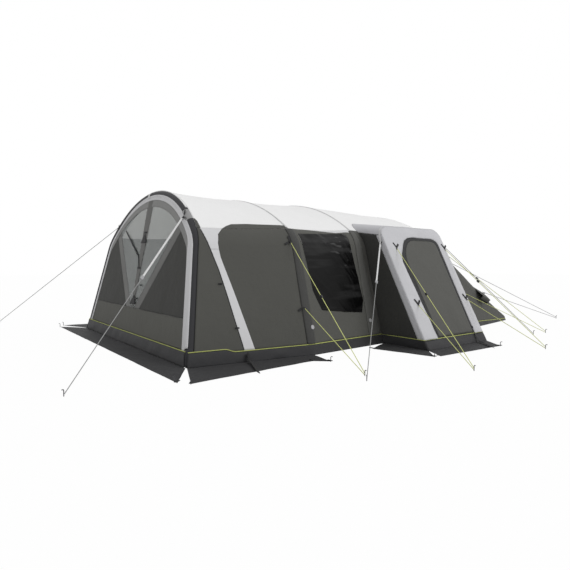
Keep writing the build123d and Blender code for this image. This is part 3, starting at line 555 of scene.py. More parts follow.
# Air beams: cloth sleeves round inflated bladders, stiff enough to hold the tent up with no poles.
# The front beam's sleeve is dark outside and light towards the gable. A straight brace stands
# inside each side wall of the front bay.
beam_radius, beam_inset, front_beam_ahead, beam_foot = 0.0595, 0.066, 0.060, 0.003
sleeve_cloth = cloth("sleeve_cloth", (0.58, 0.58, 0.59), rough=0.75, mottle=0.05, crease=0.5)
sleeve_dark = cloth("sleeve_dark", (0.030, 0.030, 0.033), rough=0.7, mottle=0.08, crease=0.5)


def beam_strip(arch, v, ahead, inset, radius, start, end, columns):
    """Part of a beam's sleeve between two angles, which turn from straight outwards round to the front."""
    centre = arch_line(arch, v, inset, ahead)
    along = unit(np.gradient(centre, axis=0))
    back = np.array((1, 0, -arch["lean"])) / hypot(1, arch["lean"])
    out = np.cross(back, along)[:, None]
    share = np.linspace(0, 1, columns)[None]
    start, end = (np.broadcast_to(angle, len(v))[:, None] for angle in (start, end))
    turn = np.radians(start * (1 - share) + end * share)[..., None]
    points = centre[:, None] + radius * (np.cos(turn) * out - np.sin(turn) * back)
    points[..., 2] = np.maximum(points[..., 2], beam_foot)
    return points


foot_v = 0.0007
beam_v = np.linspace(foot_v, 1 - foot_v, 240)
inner_beams = {"second": second, "third": third, "rear": arch(1.29, 2.0824, 2.0037)}
for name, beam in inner_beams.items():
    points = beam_strip(beam, beam_v, 0, beam_inset, beam_radius, -180, 180, 28)
    sew(grid_mesh(f"{name}_sleeve", points), (sleeve_cloth,), [f"{name}_beam_sleeve", f"{name}_bladder"])

front_sleeve_radius, light_start, foot_end = 0.064, 0.172, 0.178
seam_angle = np.interp(beam_v, (0.15, 0.30, 0.40, 0.50, 0.60, 0.70, 0.85), (52, 56, 72, 96, 130, 134, 122))
dark_half = beam_strip(front, beam_v, front_beam_ahead, beam_inset, front_sleeve_radius, -60, seam_angle, 20)
above_foot = (beam_v > leg_share(front, light_start)) & (beam_v < 1 - leg_share(front, light_start))
light_half = beam_strip(
    front, beam_v[above_foot], front_beam_ahead, beam_inset, front_sleeve_radius, seam_angle[above_foot], 300, 24,
)
front_nodes = ["front_beam_sleeve", "front_bladder"]
sew(grid_mesh("front_sleeve_outside", dark_half), (sleeve_dark,), front_nodes)
sew(grid_mesh("front_sleeve_inside", light_half), (sleeve_cloth,), front_nodes)
foot_run = np.linspace(foot_v, leg_share(front, foot_end), 12)
for name, run in (("near", foot_run), ("far", 1 - foot_run[::-1])):
    angle = np.interp(run, beam_v, seam_angle)
    points = beam_strip(front, run, front_beam_ahead, beam_inset, front_sleeve_radius, angle, 300, 24)
    sew(grid_mesh(f"front_sleeve_{name}_foot", points), (sleeve_dark,), front_nodes)

brace_radius, brace_inside = 0.0460, 0.074
brace_low, brace_high, brace_top = 0.487, 0.1334, 1.29
low = wall_line(front, second, [brace_low], 0)[0]
high = wall_line(front, second, [brace_high], brace_top)[0]
beside = wall_line(front, second, [brace_low + 0.05], 0)[0] - low
above = wall_line(front, second, [brace_low], 0.2)[0] - low
inward = -unit(np.cross(beside, above)) * brace_inside
run = high - low
brace_path = np.array([low + inward + run * share for share in np.linspace(0.034, 1, 30)])
for name, path in (("near_brace", brace_path), ("far_brace", brace_path * flip)):
    trim(tube_mesh(name, path, brace_radius, 20), sleeve_cloth, ["brace_sleeves"])

# Roof: three light polyester panels, one to a bay, sewn together over the air beams. Each hangs
# a little between its arches. Its inner side has a painted glow, an emission that stands in for the
# daylight that comes through. A roll of the same cloth edges it along the front beam.
roof_colour, roof_inside_colour = (0.80, 0.80, 0.80), (0.60, 0.60, 0.58)
roof_sag, wall_sag, bay_lumps = 0.022, 0.010, 0.005
wall_low, tail_wall_low, tail_sag = 0.1345, 0.040, 0.045
front_start = 0.045
leg_columns, crown_columns = 70, 150
roof_cloth = cloth("roof_cloth", roof_colour, rough=0.72, mottle=0.04, crease=0.7)
# The lining carries a painted glow: emission for the daylight that comes through the roof.
roof_lining = cloth("roof_lining", roof_inside_colour, glow=0.35)


def bay_cloth(first, last, low, last_low, sags, seed, rows, start=0.0, cell=0.35):
    """A bay's near wall, roof and far wall as three grids that meet at the eaves."""
    round_arch = []
    for arch, height in ((first, low), (last, last_low)):
        leg = np.linspace(leg_share(arch, height), shoulder_end, leg_columns)
        crown = np.linspace(shoulder_end, 1 - shoulder_end, crown_columns)
        round_arch.append(arch_line(arch, np.concatenate([leg, crown[1:-1], 1 - leg[::-1]])))
    share = np.linspace(start, 1, rows)[:, None, None]
    points = round_arch[0][None] * (1 - share) + round_arch[1][None] * share
    within = np.linspace(0, 1, rows)[:, None]
    dip = 4 * within * (1 - within)
    crownness = np.concatenate([
        np.linspace(0, 1, leg_columns) ** 4, np.ones(crown_columns - 2), np.linspace(1, 0, leg_columns) ** 4,
    ])[None]
    a, b = run_lengths(points, 0) / cell, run_lengths(points, 1) / cell
    depth = -(sags[0] + (sags[1] - sags[0]) * crownness) * dip + bay_lumps * lumps(a, b, seed) * np.sqrt(dip)
    points = points + facing(points) * depth[..., None]
    return points[:, :leg_columns], points[:, leg_columns - 1:1 - leg_columns], points[:, -leg_columns:]


bays = {
    "front": bay_cloth(front, second, wall_low, wall_low, (wall_sag, roof_sag), 3, 64, front_start),
    "middle": bay_cloth(second, third, wall_low, wall_low, (wall_sag, roof_sag), 5, 60),
    "rear": bay_cloth(third, rear, wall_low, wall_low, (wall_sag, 0.4 * roof_sag), 7, 70),
    "tail": bay_cloth(rear, tail, wall_low, tail_wall_low, (0.012, tail_sag), 9, 80),
}
for name in ("front", "middle", "rear"):
    sew(grid_mesh(f"roof_{name}_cloth", bays[name][1]), (roof_cloth, roof_lining), [f"roof_{name}"])
edge_v, edge_angle, edge_radius = beam_v[102:145], 14, 0.010
edge_line = beam_strip(
    front, edge_v, front_beam_ahead, beam_inset, front_sleeve_radius, edge_angle, edge_angle, 2,
)[:, 0]
trim(tube_mesh("roof_front_edge", edge_line, edge_radius, 10), roof_cloth, ["roof_front"])

# Seams: rows of lock stitch in polyester thread beside each seam of the roof, one row to a side.
# Over each of the two middle beams lies a grey strip, darker than the roof: painted shade along the beam's bulge.
stitch_pitch, stitch_size = 0.0075, (0.0055, 0.0012, 0.0008)


def row_tree():
    """Small blocks set one after another along lines, each turned to follow its line."""
    tree = bpy.data.node_groups.new("row_of_blocks", "GeometryNodeTree")
    add = tree.interface.new_socket
    add("Lines", in_out="INPUT", socket_type="NodeSocketGeometry")
    for name, value in (("Pitch", 0.006), ("Length", 0.004), ("Width", 0.001), ("Height", 0.001)):
        add(name, in_out="INPUT", socket_type="NodeSocketFloat").default_value = value
    add("Material", in_out="INPUT", socket_type="NodeSocketMaterial")
    add("Blocks", in_out="OUTPUT", socket_type="NodeSocketGeometry")
    given = wire(tree, "NodeGroupInput").outputs
    curve = wire(tree, "GeometryNodeMeshToCurve", {"Mesh": given["Lines"]})
    spaced = wire(tree, "GeometryNodeResampleCurve", {"Curve": curve.outputs["Curve"], "Length": given["Pitch"]},
                  mode="LENGTH")
    size = wire(tree, "ShaderNodeCombineXYZ", {"X": given["Length"], "Y": given["Width"], "Z": given["Height"]})
    block = wire(tree, "GeometryNodeMeshCube", {"Size": size.outputs[0]})
    heading = wire(tree, "GeometryNodeInputTangent")
    turn = wire(tree, "FunctionNodeAlignRotationToVector", {"Vector": heading.outputs[0]}, axis="X")
    placed = wire(tree, "GeometryNodeInstanceOnPoints", {
        "Points": spaced.outputs["Curve"], "Instance": block.outputs["Mesh"], "Rotation": turn.outputs[0],
    })
    solid = wire(tree, "GeometryNodeRealizeInstances", {0: placed.outputs[0]})
    painted = wire(tree, "GeometryNodeSetMaterial", {"Geometry": solid.outputs[0], "Material": given["Material"]})
    wire(tree, "NodeGroupOutput", {"Blocks": painted.outputs[0]})
    return tree


rows_of_blocks = row_tree()


def block_rows(name, lines, material, pitch, length, width, height, body="tent"):
    """Rows of stitches or teeth along lines, made one plain piece on a body."""
    mesh = bpy.data.meshes.new(name)
    places, edges = [], []
    for line in lines:
        first = len(places)
        places += np.asarray(line).tolist()
        edges += [(k, k + 1) for k in range(first, len(places) - 1)]
    mesh.from_pydata(places, edges, [])
    piece = piece_from(mesh)
    step = piece.modifiers.new("rows", "NODES")
    step.node_group = rows_of_blocks
    given = {"Pitch": pitch, "Length": length, "Width": width, "Height": height, "Material": material}
    for socket in rows_of_blocks.interface.items_tree:
        if socket.in_out == "INPUT" and socket.name in given:
            step[socket.identifier] = given[socket.name]
    seen = piece.evaluated_get(bpy.context.evaluated_depsgraph_get())
    plain = bpy.data.meshes.new_from_object(seen)
    piece.modifiers.remove(step)
    piece.data = plain
    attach(piece, body)
    return piece


def thread_material(name, colour, rough=0.6):
    """Thread, cord or moulded trim: one colour with a fine grain."""
    material, tree = bare_material(name)
    place = wire(tree, "ShaderNodeTexCoord").outputs["Object"]
    grain = wire(tree, "ShaderNodeTexNoise", {"Vector": place, "Scale": 420.0, "Detail": 2.0}).outputs[0]
    dark, light = ((*[min(1.0, share * c) for c in colour], 1) for share in (0.8, 1.15))
    tint = wire(tree, "ShaderNodeMix", {"Factor": grain, "A": dark, "B": light}, data_type="RGBA")
    bump = wire(tree, "ShaderNodeBump", {"Strength": 0.25, "Distance": 0.001, "Height": grain})
    coat(tree, {"Base Color": tint.outputs["Result"], "Normal": bump.outputs[0], "Roughness": rough})
    return material


def beside_edge(points, edge, inset=0.010, lift=0.0009):
    """A line on a grid's face, a little way in from one of its four edges."""
    out = facing(points)
    if edge in ("left", "right"):
        points, out = points.swapaxes(0, 1), out.swapaxes(0, 1)
    if edge in ("last", "right"):
        points, out = points[::-1], out[::-1]
    inward = unit(points[1] - points[0])
    return points[0] + inward * inset + out[0] * lift


def flat_band(width, thickness):
    """The outline of a flat tape or strap, to be carried along a line."""
    return np.array([(-1, -1), (1, -1), (1, 1), (-1, 1)]) * (width / 2, thickness / 2)


pale_thread = thread_material("pale_thread", (0.55, 0.55, 0.55))
dark_thread = thread_material("dark_thread", (0.10, 0.10, 0.10))
roof_rows = [beside_edge(bays["front"][1], "last"), beside_edge(bays["middle"][1], "first"),
             beside_edge(bays["middle"][1], "last"), beside_edge(bays["rear"][1], "first"),
             beside_edge(bays["rear"][1], "last"), beside_edge(bays["front"][1], "first")]
roof_rows += [beside_edge(bays[name][1], edge) for name in ("front", "middle", "rear") for edge in ("left", "right")]
# Painted shade: a grey strip, darker than the roof, laid over each middle beam where the roof's bulge is shaded.
shade_strip_size, shade_strip_v, shade_strip_lift = (0.028, 0.0016), (0.401, 0.599), 0.0022
beam_shade_strip = cloth("beam_shade_strip", (0.62, 0.62, 0.62), rough=0.75, mottle=0.05)
for name, beam in (("second", second), ("third", third)):
    shade_strip_path = arch_line(beam, np.linspace(*shade_strip_v, 90), -shade_strip_lift)
    trim(swept(f"{name}_beam_shade_strip", shade_strip_path, flat_band(*shade_strip_size), (1, 0, 0)), beam_shade_strip)
block_rows("roof_stitches", roof_rows, pale_thread, stitch_pitch, *stitch_size)

# Walls: dark polyester panels sewn to the roof at the eaves and to the mud walls at the foot.
# The front bay has a light strip over its brace, wide at the eave and narrow at the ground, and
# its dark panels reach a little way over the eave.
wall_colour = (0.073, 0.073, 0.066)
wall_cloth = cloth("wall_cloth", wall_colour, rough=0.82, mottle=0.10)
# The walls' inner face has a faint painted glow, an emission standing in for light inside the tent.
wall_lining = cloth("wall_lining", (0.20, 0.20, 0.19), glow=0.05)
plain_walls = {
    "far_front_wall": bays["front"][2], "far_middle_wall": bays["middle"][2], "far_rear_wall": bays["rear"][2],
    "far_tail_wall": bays["tail"][2], "near_tail_wall": bays["tail"][0],
}
for name, points in plain_walls.items():
    sew(grid_mesh(name + "_cloth", points), (wall_cloth, wall_lining), [name])


def cut_along(mesh, name, corners, keep_inside):
    """A copy of a sheet cut along an outline drawn on the tent's side, with one part kept."""
    edit = bmesh.new()
    edit.from_mesh(mesh)
    ring = np.array(corners)
    for (x0, z0), (x1, z1) in zip(ring, np.roll(ring, -1, axis=0)):
        bmesh.ops.bisect_plane(
            edit, geom=edit.verts[:] + edit.edges[:] + edit.faces[:], dist=1e-5,
            plane_co=(x0, 0, z0), plane_no=(z0 - z1, 0, x1 - x0),
        )
    gone = []
    for face in edit.faces:
        middle = face.calc_center_median()
        inside = False
        for (x0, z0), (x1, z1) in zip(ring, np.roll(ring, -1, axis=0)):
            if (z0 > middle.z) != (z1 > middle.z) and middle.x < (x1 - x0) * (middle.z - z0) / (z1 - z0) + x0:
                inside = not inside
        if inside != keep_inside:
            gone.append(face)
    bmesh.ops.delete(edit, geom=gone, context="FACES")
    cut = bpy.data.meshes.new(name)
    edit.to_mesh(cut)
    edit.free()
    return cut


panel_edge = [
    (-2.451, 0.0), (-2.593, 0.617), (-2.667, 0.922), (-2.731, 1.192), (-2.739, 1.286), (-2.738, 1.361),
    (-2.707, 1.464), (-2.624, 1.534), (-2.462, 1.595),
]
strip_edge = [(-2.591, 0.0), (-2.692, 0.576), (-2.779, 1.051), (-2.882, 1.429), (-2.902, 1.565), (-2.905, 1.60)]
main_panel = panel_edge + [(-2.45, 1.75), (-1.6, 1.75), (-1.6, 0.0)]
front_triangle = [(-3.6, 0.0), (-3.6, 1.60)] + strip_edge[::-1]
front_wall = grid_mesh("near_front_wall_base", bays["front"][0])
dark_main = cut_along(front_wall, "near_front_panel", main_panel, True)
dark_front = cut_along(front_wall, "near_front_triangle", front_triangle, True)
light_rest = cut_along(
    cut_along(front_wall, "strip_first", main_panel, False), "strip_whole", front_triangle, False,
)
strip_low = [(-3.6, 0.0), (-3.6, 1.28), (-1.6, 1.28), (-1.6, 0.0)]
strip_cloth = cloth("strip_cloth", (0.60, 0.60, 0.61), rough=0.75, mottle=0.05, crease=0.6)
for mesh, skin, slot in (
    (dark_main, wall_cloth, "wall_cloth"), (dark_front, wall_cloth, "wall_cloth"),
    (cut_along(light_rest, "near_front_strip", strip_low, True), strip_cloth, "roof_cloth"),
    (cut_along(light_rest, "near_front_strip_head", strip_low, False), strip_cloth, "roof_cloth"),
):
    sew(mesh, (skin, wall_lining), ["near_front_wall"])
eave_columns, eave_lift = 12, 0.0026
eave = bays["front"][1][:, :eave_columns]
eave_mesh = grid_mesh("front_eave_base", eave + facing(eave) * eave_lift)
panel_head = [
    (-2.72, 1.40), (-2.707, 1.464), (-2.624, 1.534), (-2.545, 1.572), (-2.457, 1.600), (-2.261, 1.612),
    (-1.809, 1.612), (-1.70, 1.606), (-1.70, 1.40),
]
triangle_head = [(-3.05, 1.45), (-3.05, 1.67), (-2.895, 1.655), (-2.883, 1.625), (-2.887, 1.556), (-2.892, 1.45)]
for name, corners in (("near_front_panel_head", panel_head), ("near_front_triangle_head", triangle_head)):
    sew(cut_along(eave_mesh, name, corners, True), (wall_cloth,), ["near_front_wall"])


def on_grid(points, corners, lift=0.002):
    """Places on a near wall's grid that stand over a line of (x, z) corners on the tent's side."""
    flat, out = points[..., (0, 2)].reshape(-1, 2), facing(points).reshape(-1, 3)
    places = []
    for corner in spread(np.insert(np.array(corners, float), 1, 0, axis=1), 80)[:, (0, 2)]:
        gap = np.linalg.norm(flat - corner, axis=1)
        near = np.argsort(gap)[:4]
        weight = 1 / (gap[near] + 1e-4)
        weight /= weight.sum()
        y = weight @ points.reshape(-1, 3)[near, 1]
        places.append(np.array((corner[0], y, corner[1])) + weight @ out[near] * lift)
    return np.array(places)


strip_piping = on_grid(bays["front"][0], [(x, z) for x, z in strip_edge if z < 1.5][1:] + [(-2.898, 1.51)])
low_piping = on_grid(bays["front"][0], [(-2.616, 0.14), (-2.692, 0.576)])
trim(tube_mesh("strip_shadow_piping", np.concatenate([low_piping[:-1], strip_piping]), 0.004, 8), sleeve_dark,
     ["near_front_wall"])

# Leg strips: bands of cloth sewn down over the second and third beams, one darker than the wall.
# They bulge a little with the air in the beams.
leg_strip_lift, leg_strip_rest, eave_v = 0.010, 0.0025, 0.392
second_strip_cloth = cloth("second_strip_cloth", (0.050, 0.050, 0.048), rough=0.75)
third_strip_cloth = cloth("third_strip_cloth", (0.086, 0.086, 0.080), rough=0.75)
for name, before, beam, after, widths, skin, node in (
    ("second_leg_strip", front, second, third, (0.13, 0.13), second_strip_cloth, "near_front_wall"),
    ("third_leg_strip", second, third, rear, (0.21, 0.09), third_strip_cloth, "window_wall"),
):
    rows = []
    for across in np.linspace(-0.5, 0.5, 11):
        first, last = (before, beam) if across < 0 else (beam, after)
        share = across * np.linspace(*widths, 70)[:, None] / (last["x"] - first["x"]) + (1 if across < 0 else 0)
        ends = [arch_line(leg, np.linspace(leg_share(leg, wall_low), eave_v, 70)) for leg in (first, last)]
        rows.append(ends[0] * (1 - share) + ends[1] * share)
    points = np.array(rows)
    bulge = leg_strip_rest + leg_strip_lift * np.sqrt(1 - np.linspace(-1, 1, 11) ** 2)
    points = points + facing(points) * bulge[:, None, None]
    sew(grid_mesh(name, points), (skin,), [node])

# Side window: a tinted film, slack and creased from its packing, in a grey panel between the
# second and third beams. A light valance hangs over its top edge.
window_corners = [(-1.62, 1.50), (-0.71, 1.53), (-0.65, 0.60), (-0.71, 0.445), (-1.46, 0.525), (-1.56, 0.77)]
valance = [(-1.8, 1.572), (-1.30, 1.560), (-0.866, 1.540), (-0.683, 1.556), (-0.5, 1.560), (-0.5, 1.9), (-1.8, 1.9)]
bay_wall = grid_mesh("window_wall_base", bays["middle"][0])
window_panel = cloth("window_panel_cloth", (0.082, 0.082, 0.074), rough=0.8, mottle=0.12)
below = cut_along(bay_wall, "window_wall_below", valance, False)
sew(cut_along(below, "window_wall_cloth", window_corners, False), (window_panel, wall_lining), ["window_wall"])
sew(cut_along(bay_wall, "window_valance", valance, True), (strip_cloth, wall_lining), ["window_wall"])

film_low, film_crinkle, film_fine, film_back = 0.41, 0.010, 0.004, 0.004
fine_from, fine_over = -1.05, 0.35
rows, columns = 150, 190
share = np.linspace(0, 1, rows)[:, None, None]
v_ends = [np.linspace(leg_share(leg, film_low), shoulder_end, columns) for leg in (second, third)]
points = arch_line(second, v_ends[0])[None] * (1 - share) + arch_line(third, v_ends[1])[None] * share
a, b = run_lengths(points, 0), run_lengths(points, 1)
ridged = 1 - np.abs(lumps((a + b) / 0.17, (a - b) / 0.9 + 20, 71))
fine = 1 - np.abs(lumps((a + 0.6 * b) / 0.06, (b - 0.6 * a) / 0.15, 72))
toward_right = np.clip((points[..., 0] - fine_from) / fine_over, 0, 1)
depth = film_crinkle * (ridged - 0.5) + film_fine * toward_right * (fine - 0.5) - film_back
points = points + facing(points) * depth[..., None]


def film_material(name):
    """Tinted film: near black, with painted shade darkening it away from the front, painted reflections along diagonal
    folds and pale painted highlights on its crinkles.
    """
    material, tree = bare_material(name)
    weave = wire(tree, "ShaderNodeUVMap", uv_map="weave").outputs[0]
    along = wire(tree, "ShaderNodeSeparateXYZ", {0: weave}).outputs

    def rising(value, low, high):
        """A mask that goes from 0 at one value to 1 at another."""
        return wire(tree, "ShaderNodeMapRange", {"Value": value, "From Min": low, "From Max": high}).outputs["Result"]

    def drawn_out(scale, turn):
        """Noise that is long one way and narrow the other, at a slant over the film."""
        slant = (0, 0, radians(turn))
        place = wire(tree, "ShaderNodeMapping", {"Vector": weave, "Scale": scale, "Rotation": slant}).outputs[0]
        return wire(tree, "ShaderNodeTexNoise", {"Vector": place, "Scale": 1.0, "Detail": 2.0}).outputs[0]

    rearward, upward = rising(along["X"], 0.40, 0.85), rising(along["Y"], 0.55, 0.85)
    painted_fold_reflections = rising(drawn_out((1.0, 9.0, 1.0), 45), 0.50, 0.64)
    painted_crinkle_highlights = rising(drawn_out((3.5, 15.0, 1.0), -12), 0.60, 0.72)
    for mask in (rearward, upward):
        painted_crinkle_highlights = wire(tree, "ShaderNodeMath", {0: painted_crinkle_highlights, 1: mask}, operation="MULTIPLY").outputs[0]
    # Painted light and shade on the film: darker towards the rear, lighter along the folds as painted reflections, and
    # pale painted highlights on the crinkles.
    shade = (0.004, 0.004, 0.004, 1)
    for mask, grey in ((rearward, 0.0012), (painted_fold_reflections, 0.016), (painted_crinkle_highlights, 0.085)):
        mix = wire(tree, "ShaderNodeMix", {"Factor": mask, "A": shade, "B": (grey, grey, grey, 1)}, data_type="RGBA")
        shade = mix.outputs["Result"]
    coat(tree, {"Base Color": shade, "Roughness": 0.28, "Specular IOR Level": 0.10})
    return material


film = film_material("tinted_film")
sew(cut_along(grid_mesh("side_window_base", points), "side_window_film", window_corners, True), (film,),
    ["side_window"])

# Front gable: a lower wall, a clear V-shaped window between two grey flaps, dark panels beside them
# and a middle band with the zip. A light and a grey band along the arch join them to the front beam.
gable_ahead, gable_rise = 0.010, hypot(1, front["lean"])
sill, gable_top, gable_edge = 0.510, 2.06, 0.100
flap_reach = 0.191
gable_depth = 0.004
lower_cloth = cloth("gable_lower_cloth", (0.092, 0.092, 0.082), rough=0.82, mottle=0.10)
# Painted shade: the side panels are the walls' cloth, made darker in colour as shade on the gable's dim side.
side_panel_shaded_cloth = cloth("gable_side_cloth", (0.041, 0.041, 0.038), rough=0.82, mottle=0.10)
flap_cloths = {
    side: cloth(f"gable_{side}_flap_cloth", (shade, shade, 0.97 * shade), rough=0.8, mottle=0.30, thread=0.004)
    for side, shade in (("near", 0.15), ("far", 0.165))
}
band_cloth = cloth("gable_band_cloth", (0.130, 0.130, 0.125), rough=0.8, mottle=0.08)
lower_v = leg_share(front, 0.170)


def gable_half(level, inset=gable_edge):
    """Half the width under the front arch at a level of the gable's plane."""
    y, z = arch_flat(front, np.linspace(0, 0.5, 1200), inset)
    return np.interp(level, z, -y)


def flap_edge(level):
    return 0.060 + (level / gable_rise - 0.50) * (1.02 / 1.10)


def zip_half(level):
    return np.interp(level, (sill, 2.1416), (0.040, 0.110))


def top_level(edge):
    """The level at which an edge of a gable piece runs out under the arch."""
    levels = np.linspace(sill, gable_top, 600)
    inside = levels[gable_half(levels) > edge(levels) + 0.003]
    return inside[-1]


def gable_sheet(low, high, left, right, seed, rows=60, columns=40, ahead=gable_ahead):
    """A grid in the gable's plane between two edges, with soft lumps that die out at the edges."""
    levels = np.linspace(low, high, rows)
    share = np.linspace(0, 1, columns)[None]
    y = left(levels)[:, None] * (1 - share) + right(levels)[:, None] * share
    points = in_arch_plane(front, y, levels[:, None] + 0 * y, ahead)
    swell = lumps(levels[:, None] / 0.3 + 0 * y, y / 0.3 + 20, seed) * np.sqrt(4 * share * (1 - share))
    return points + facing(points) * (gable_depth * swell)[..., None]


def flap_out(level):
    return np.minimum(flap_edge(level) + flap_reach, gable_half(level))


def flap_in(level):
    return np.minimum(flap_edge(level), gable_half(level))


clear, tree = bare_material("clear_film")
place = wire(tree, "ShaderNodeTexCoord").outputs["Object"]
ripple = wire(tree, "ShaderNodeTexNoise", {"Vector": place, "Scale": 5.0}).outputs[0]
bump = wire(tree, "ShaderNodeBump", {"Strength": 0.15, "Distance": 0.02, "Height": ripple})
coat(tree, {"Base Color": (0.36, 0.39, 0.38, 1), "Roughness": 0.12, "Alpha": 0.30, "Normal": bump.outputs[0]})

gable_lower = gable_sheet(0.1715, sill, lambda t: -gable_half(t, 0.070), lambda t: gable_half(t, 0.070), 80, 24, 120)
sew(grid_mesh("gable_lower_cloth", gable_lower), (lower_cloth, wall_lining), ["gable_lower_wall"])
side_top, flap_top, zip_top = top_level(lambda t: flap_edge(t) + flap_reach), top_level(flap_edge), top_level(zip_half)
gable_pieces = (
    ("side_panel", side_top, gable_half, flap_out, side_panel_shaded_cloth, "gable_side_panels", "wall_cloth"),
    ("flap", flap_top, flap_out, flap_in, None, "gable_flaps", "pale_cloth"),
    ("clear_pane", zip_top, flap_in, zip_half, clear, "gable_window", "clear_film"),
)
gable_rows = [beside_edge(gable_lower, "last")]
for seed, (name, high, far_side, near_middle, skin, node, slot) in enumerate(gable_pieces):
    for side, left, right in (
        ("near", lambda t: -far_side(t), lambda t: -near_middle(t)), ("far", near_middle, far_side),
    ):
        points = gable_sheet(sill, high, left, right, 81 + seed)
        sew(grid_mesh(f"gable_{side}_{name}", points, points[..., 1:]), (skin or flap_cloths[side],), [node])
        gable_rows += [beside_edge(points, edge) for edge in ("left", "right")]
middle_band = gable_sheet(sill, zip_top, lambda t: -zip_half(t), zip_half, 90, 80, 12, gable_ahead - 0.003)
sew(grid_mesh("gable_middle_band", middle_band), (band_cloth,), ["gable_zip_strip"])
block_rows("gable_stitches", gable_rows, dark_thread, stitch_pitch, *stitch_size)

band_v = np.linspace(lower_v, 1 - lower_v, 260)
fold_v = np.minimum(band_v, 1 - band_v)
light_in = np.interp(fold_v, (0.10, 0.30, 0.42, 0.50), (0.165, 0.165, 0.135, 0.128))
grey_in = np.interp(fold_v, (0.20, 0.28, 0.34, 0.42, 0.50), (0.166, 0.180, 0.205, 0.225, 0.230))


def gable_band(start, end, ahead):
    """A band of the gable that follows the arch, between two distances in from it."""
    return np.stack([
        np.array([arch_line(front, [v], a + (b - a) * share, ahead)[0] for v, a, b in zip(band_v, start, end)])
        for share in np.linspace(0, 1, 5)
    ], 1)


light_band = gable_band(np.full_like(band_v, 0.088), light_in, gable_ahead - 0.006)
grey_band = gable_band(light_in - 0.004, grey_in, gable_ahead - 0.004)
grey_cloth = cloth("gable_grey_cloth", (0.23, 0.23, 0.225))
for name, points, skin in (
    ("gable_light_band", light_band, sleeve_cloth), ("gable_grey_band", grey_band, grey_cloth),
):
    sew(grid_mesh(name, points), (skin,), ["gable_arch_band"])

# Gable fittings: black webbing tabs and toggles bar-tacked to the middle band, a tie tape from the
# far flap, and webbing wrapped round the front beam where its lines pull.
webbing = cloth("black_webbing", (0.014, 0.014, 0.015), rough=0.7, mottle=0.15, thread=0.0035)
strap_webbing = cloth("strap_webbing", (0.62, 0.62, 0.62), rough=0.7, mottle=0.06, thread=0.004)
tab_ahead = gable_ahead - 0.010


def on_gable(y, level, ahead=tab_ahead):
    return in_arch_plane(front, np.asarray(y, float), np.asarray(level, float), ahead)


for name, y, level in (("upper_tab", 0.0, 1.43), ("lower_tab", 0.0, 0.56)):
    share = np.linspace(0, 1, 9)[:, None]
    across = np.linspace(-0.5, 0.5, 7)[None]
    points = on_gable(y + across * (0.20 * (1 - share) + 0.03), level + 0.13 * share + 0 * across)
    sew(grid_mesh(name, points[:, ::-1].swapaxes(0, 1)), (webbing,), ["gable_zip_strip"])
flat_toggle = flat_band(0.022, 0.008)
for name, y, level, half in (
    ("upper_toggle", -0.02, 1.58, 0.045), ("middle_toggle", 0.0, 1.072, 0.055), ("lower_toggle", -0.10, 0.645, 0.05),
    ("flap_toggle", -0.19, 0.835, 0.02),
):
    path = on_gable([y - half, y, y + half], [level] * 3)
    trim(swept(name, path, flat_toggle, (0, 0, 1), smooth=False), webbing)
tie_path = on_gable([0.832, 0.40, 0.12, 0.09, 0.0], [1.642, 1.404, 1.254, 1.235, 1.079])
trim(swept("flap_tie_tape", tie_path, flat_toggle, (0, 0, 1), smooth=False), webbing)
wraps = (("shoulder_wrap", 0.411, 0.424, -60, 84, 0.28), ("crown_loop", 0.5035, 0.5075, 10, 118, 0.62))
for name, low, high, start, end, shade in wraps:
    skin = cloth(name + "_webbing", (shade, shade, shade), rough=0.7, mottle=0.06, thread=0.004)
    points = beam_strip(front, np.linspace(low, high, 10), front_beam_ahead, beam_inset, 0.067, start, end, 24)
    sew(grid_mesh(name, points), (skin,), ["front_beam_sleeve"])

# Porch: a leaning front with a pale frame over its own small beam and a door flap hung at its left
# edge, dark side walls with a light front strip, and a roof that runs back to the tent.
porch_up, porch_back, porch_top, porch_corner = 0.8817, 0.4717, 1.85996, 0.15
porch_roof_slope, porch_shoulder = 0.12, 1.71
porch_beam_radius, porch_beam_inset = 0.0495, 0.0535
porch_out = np.array((0, -porch_up, porch_back))
pale_cloth = cloth("pale_cloth", (0.52, 0.52, 0.54), rough=0.75, mottle=0.14, crease=1.3)
porch_dark = cloth("porch_dark_cloth", (0.036, 0.036, 0.033), rough=0.82, mottle=0.10)
edging_cloth = cloth("edging_cloth", (0.012, 0.012, 0.013), rough=0.6, mottle=0.05)
door_cloth = cloth("door_cloth", (0.085, 0.085, 0.078), rough=0.8, mottle=0.10)


def on_porch(flat, out=0.0):
    """Points on the porch's leaning front, from places across it and up its slope."""
    flat = np.asarray(flat, float)
    x, t = flat[..., 0], flat[..., 1]
    return np.stack([x, porch_foot + porch_back * t, porch_up * t], -1) + out * porch_out


def porch_outline(inset, low, steps=14):
    """The porch front's outline, from its left foot over the top to its right foot."""
    left, right, top = porch_left + inset, porch_right - inset, porch_top - inset
    radius = porch_corner - min(inset, 0.1)
    turns = np.linspace(0, pi / 2, steps)
    over_left = np.stack([left + radius * (1 - np.cos(turns)), top - radius * (1 - np.sin(turns))], -1)
    over_right = np.stack([right - radius * (1 - np.sin(turns)), top - radius * (1 - np.cos(turns))], -1)
    return np.concatenate([[(left, low)], over_left, over_right, [(right, low)]])


def spread_flat(corners, count):
    return spread(np.insert(np.asarray(corners, float), 2, 0, axis=1), count)[:, :2]


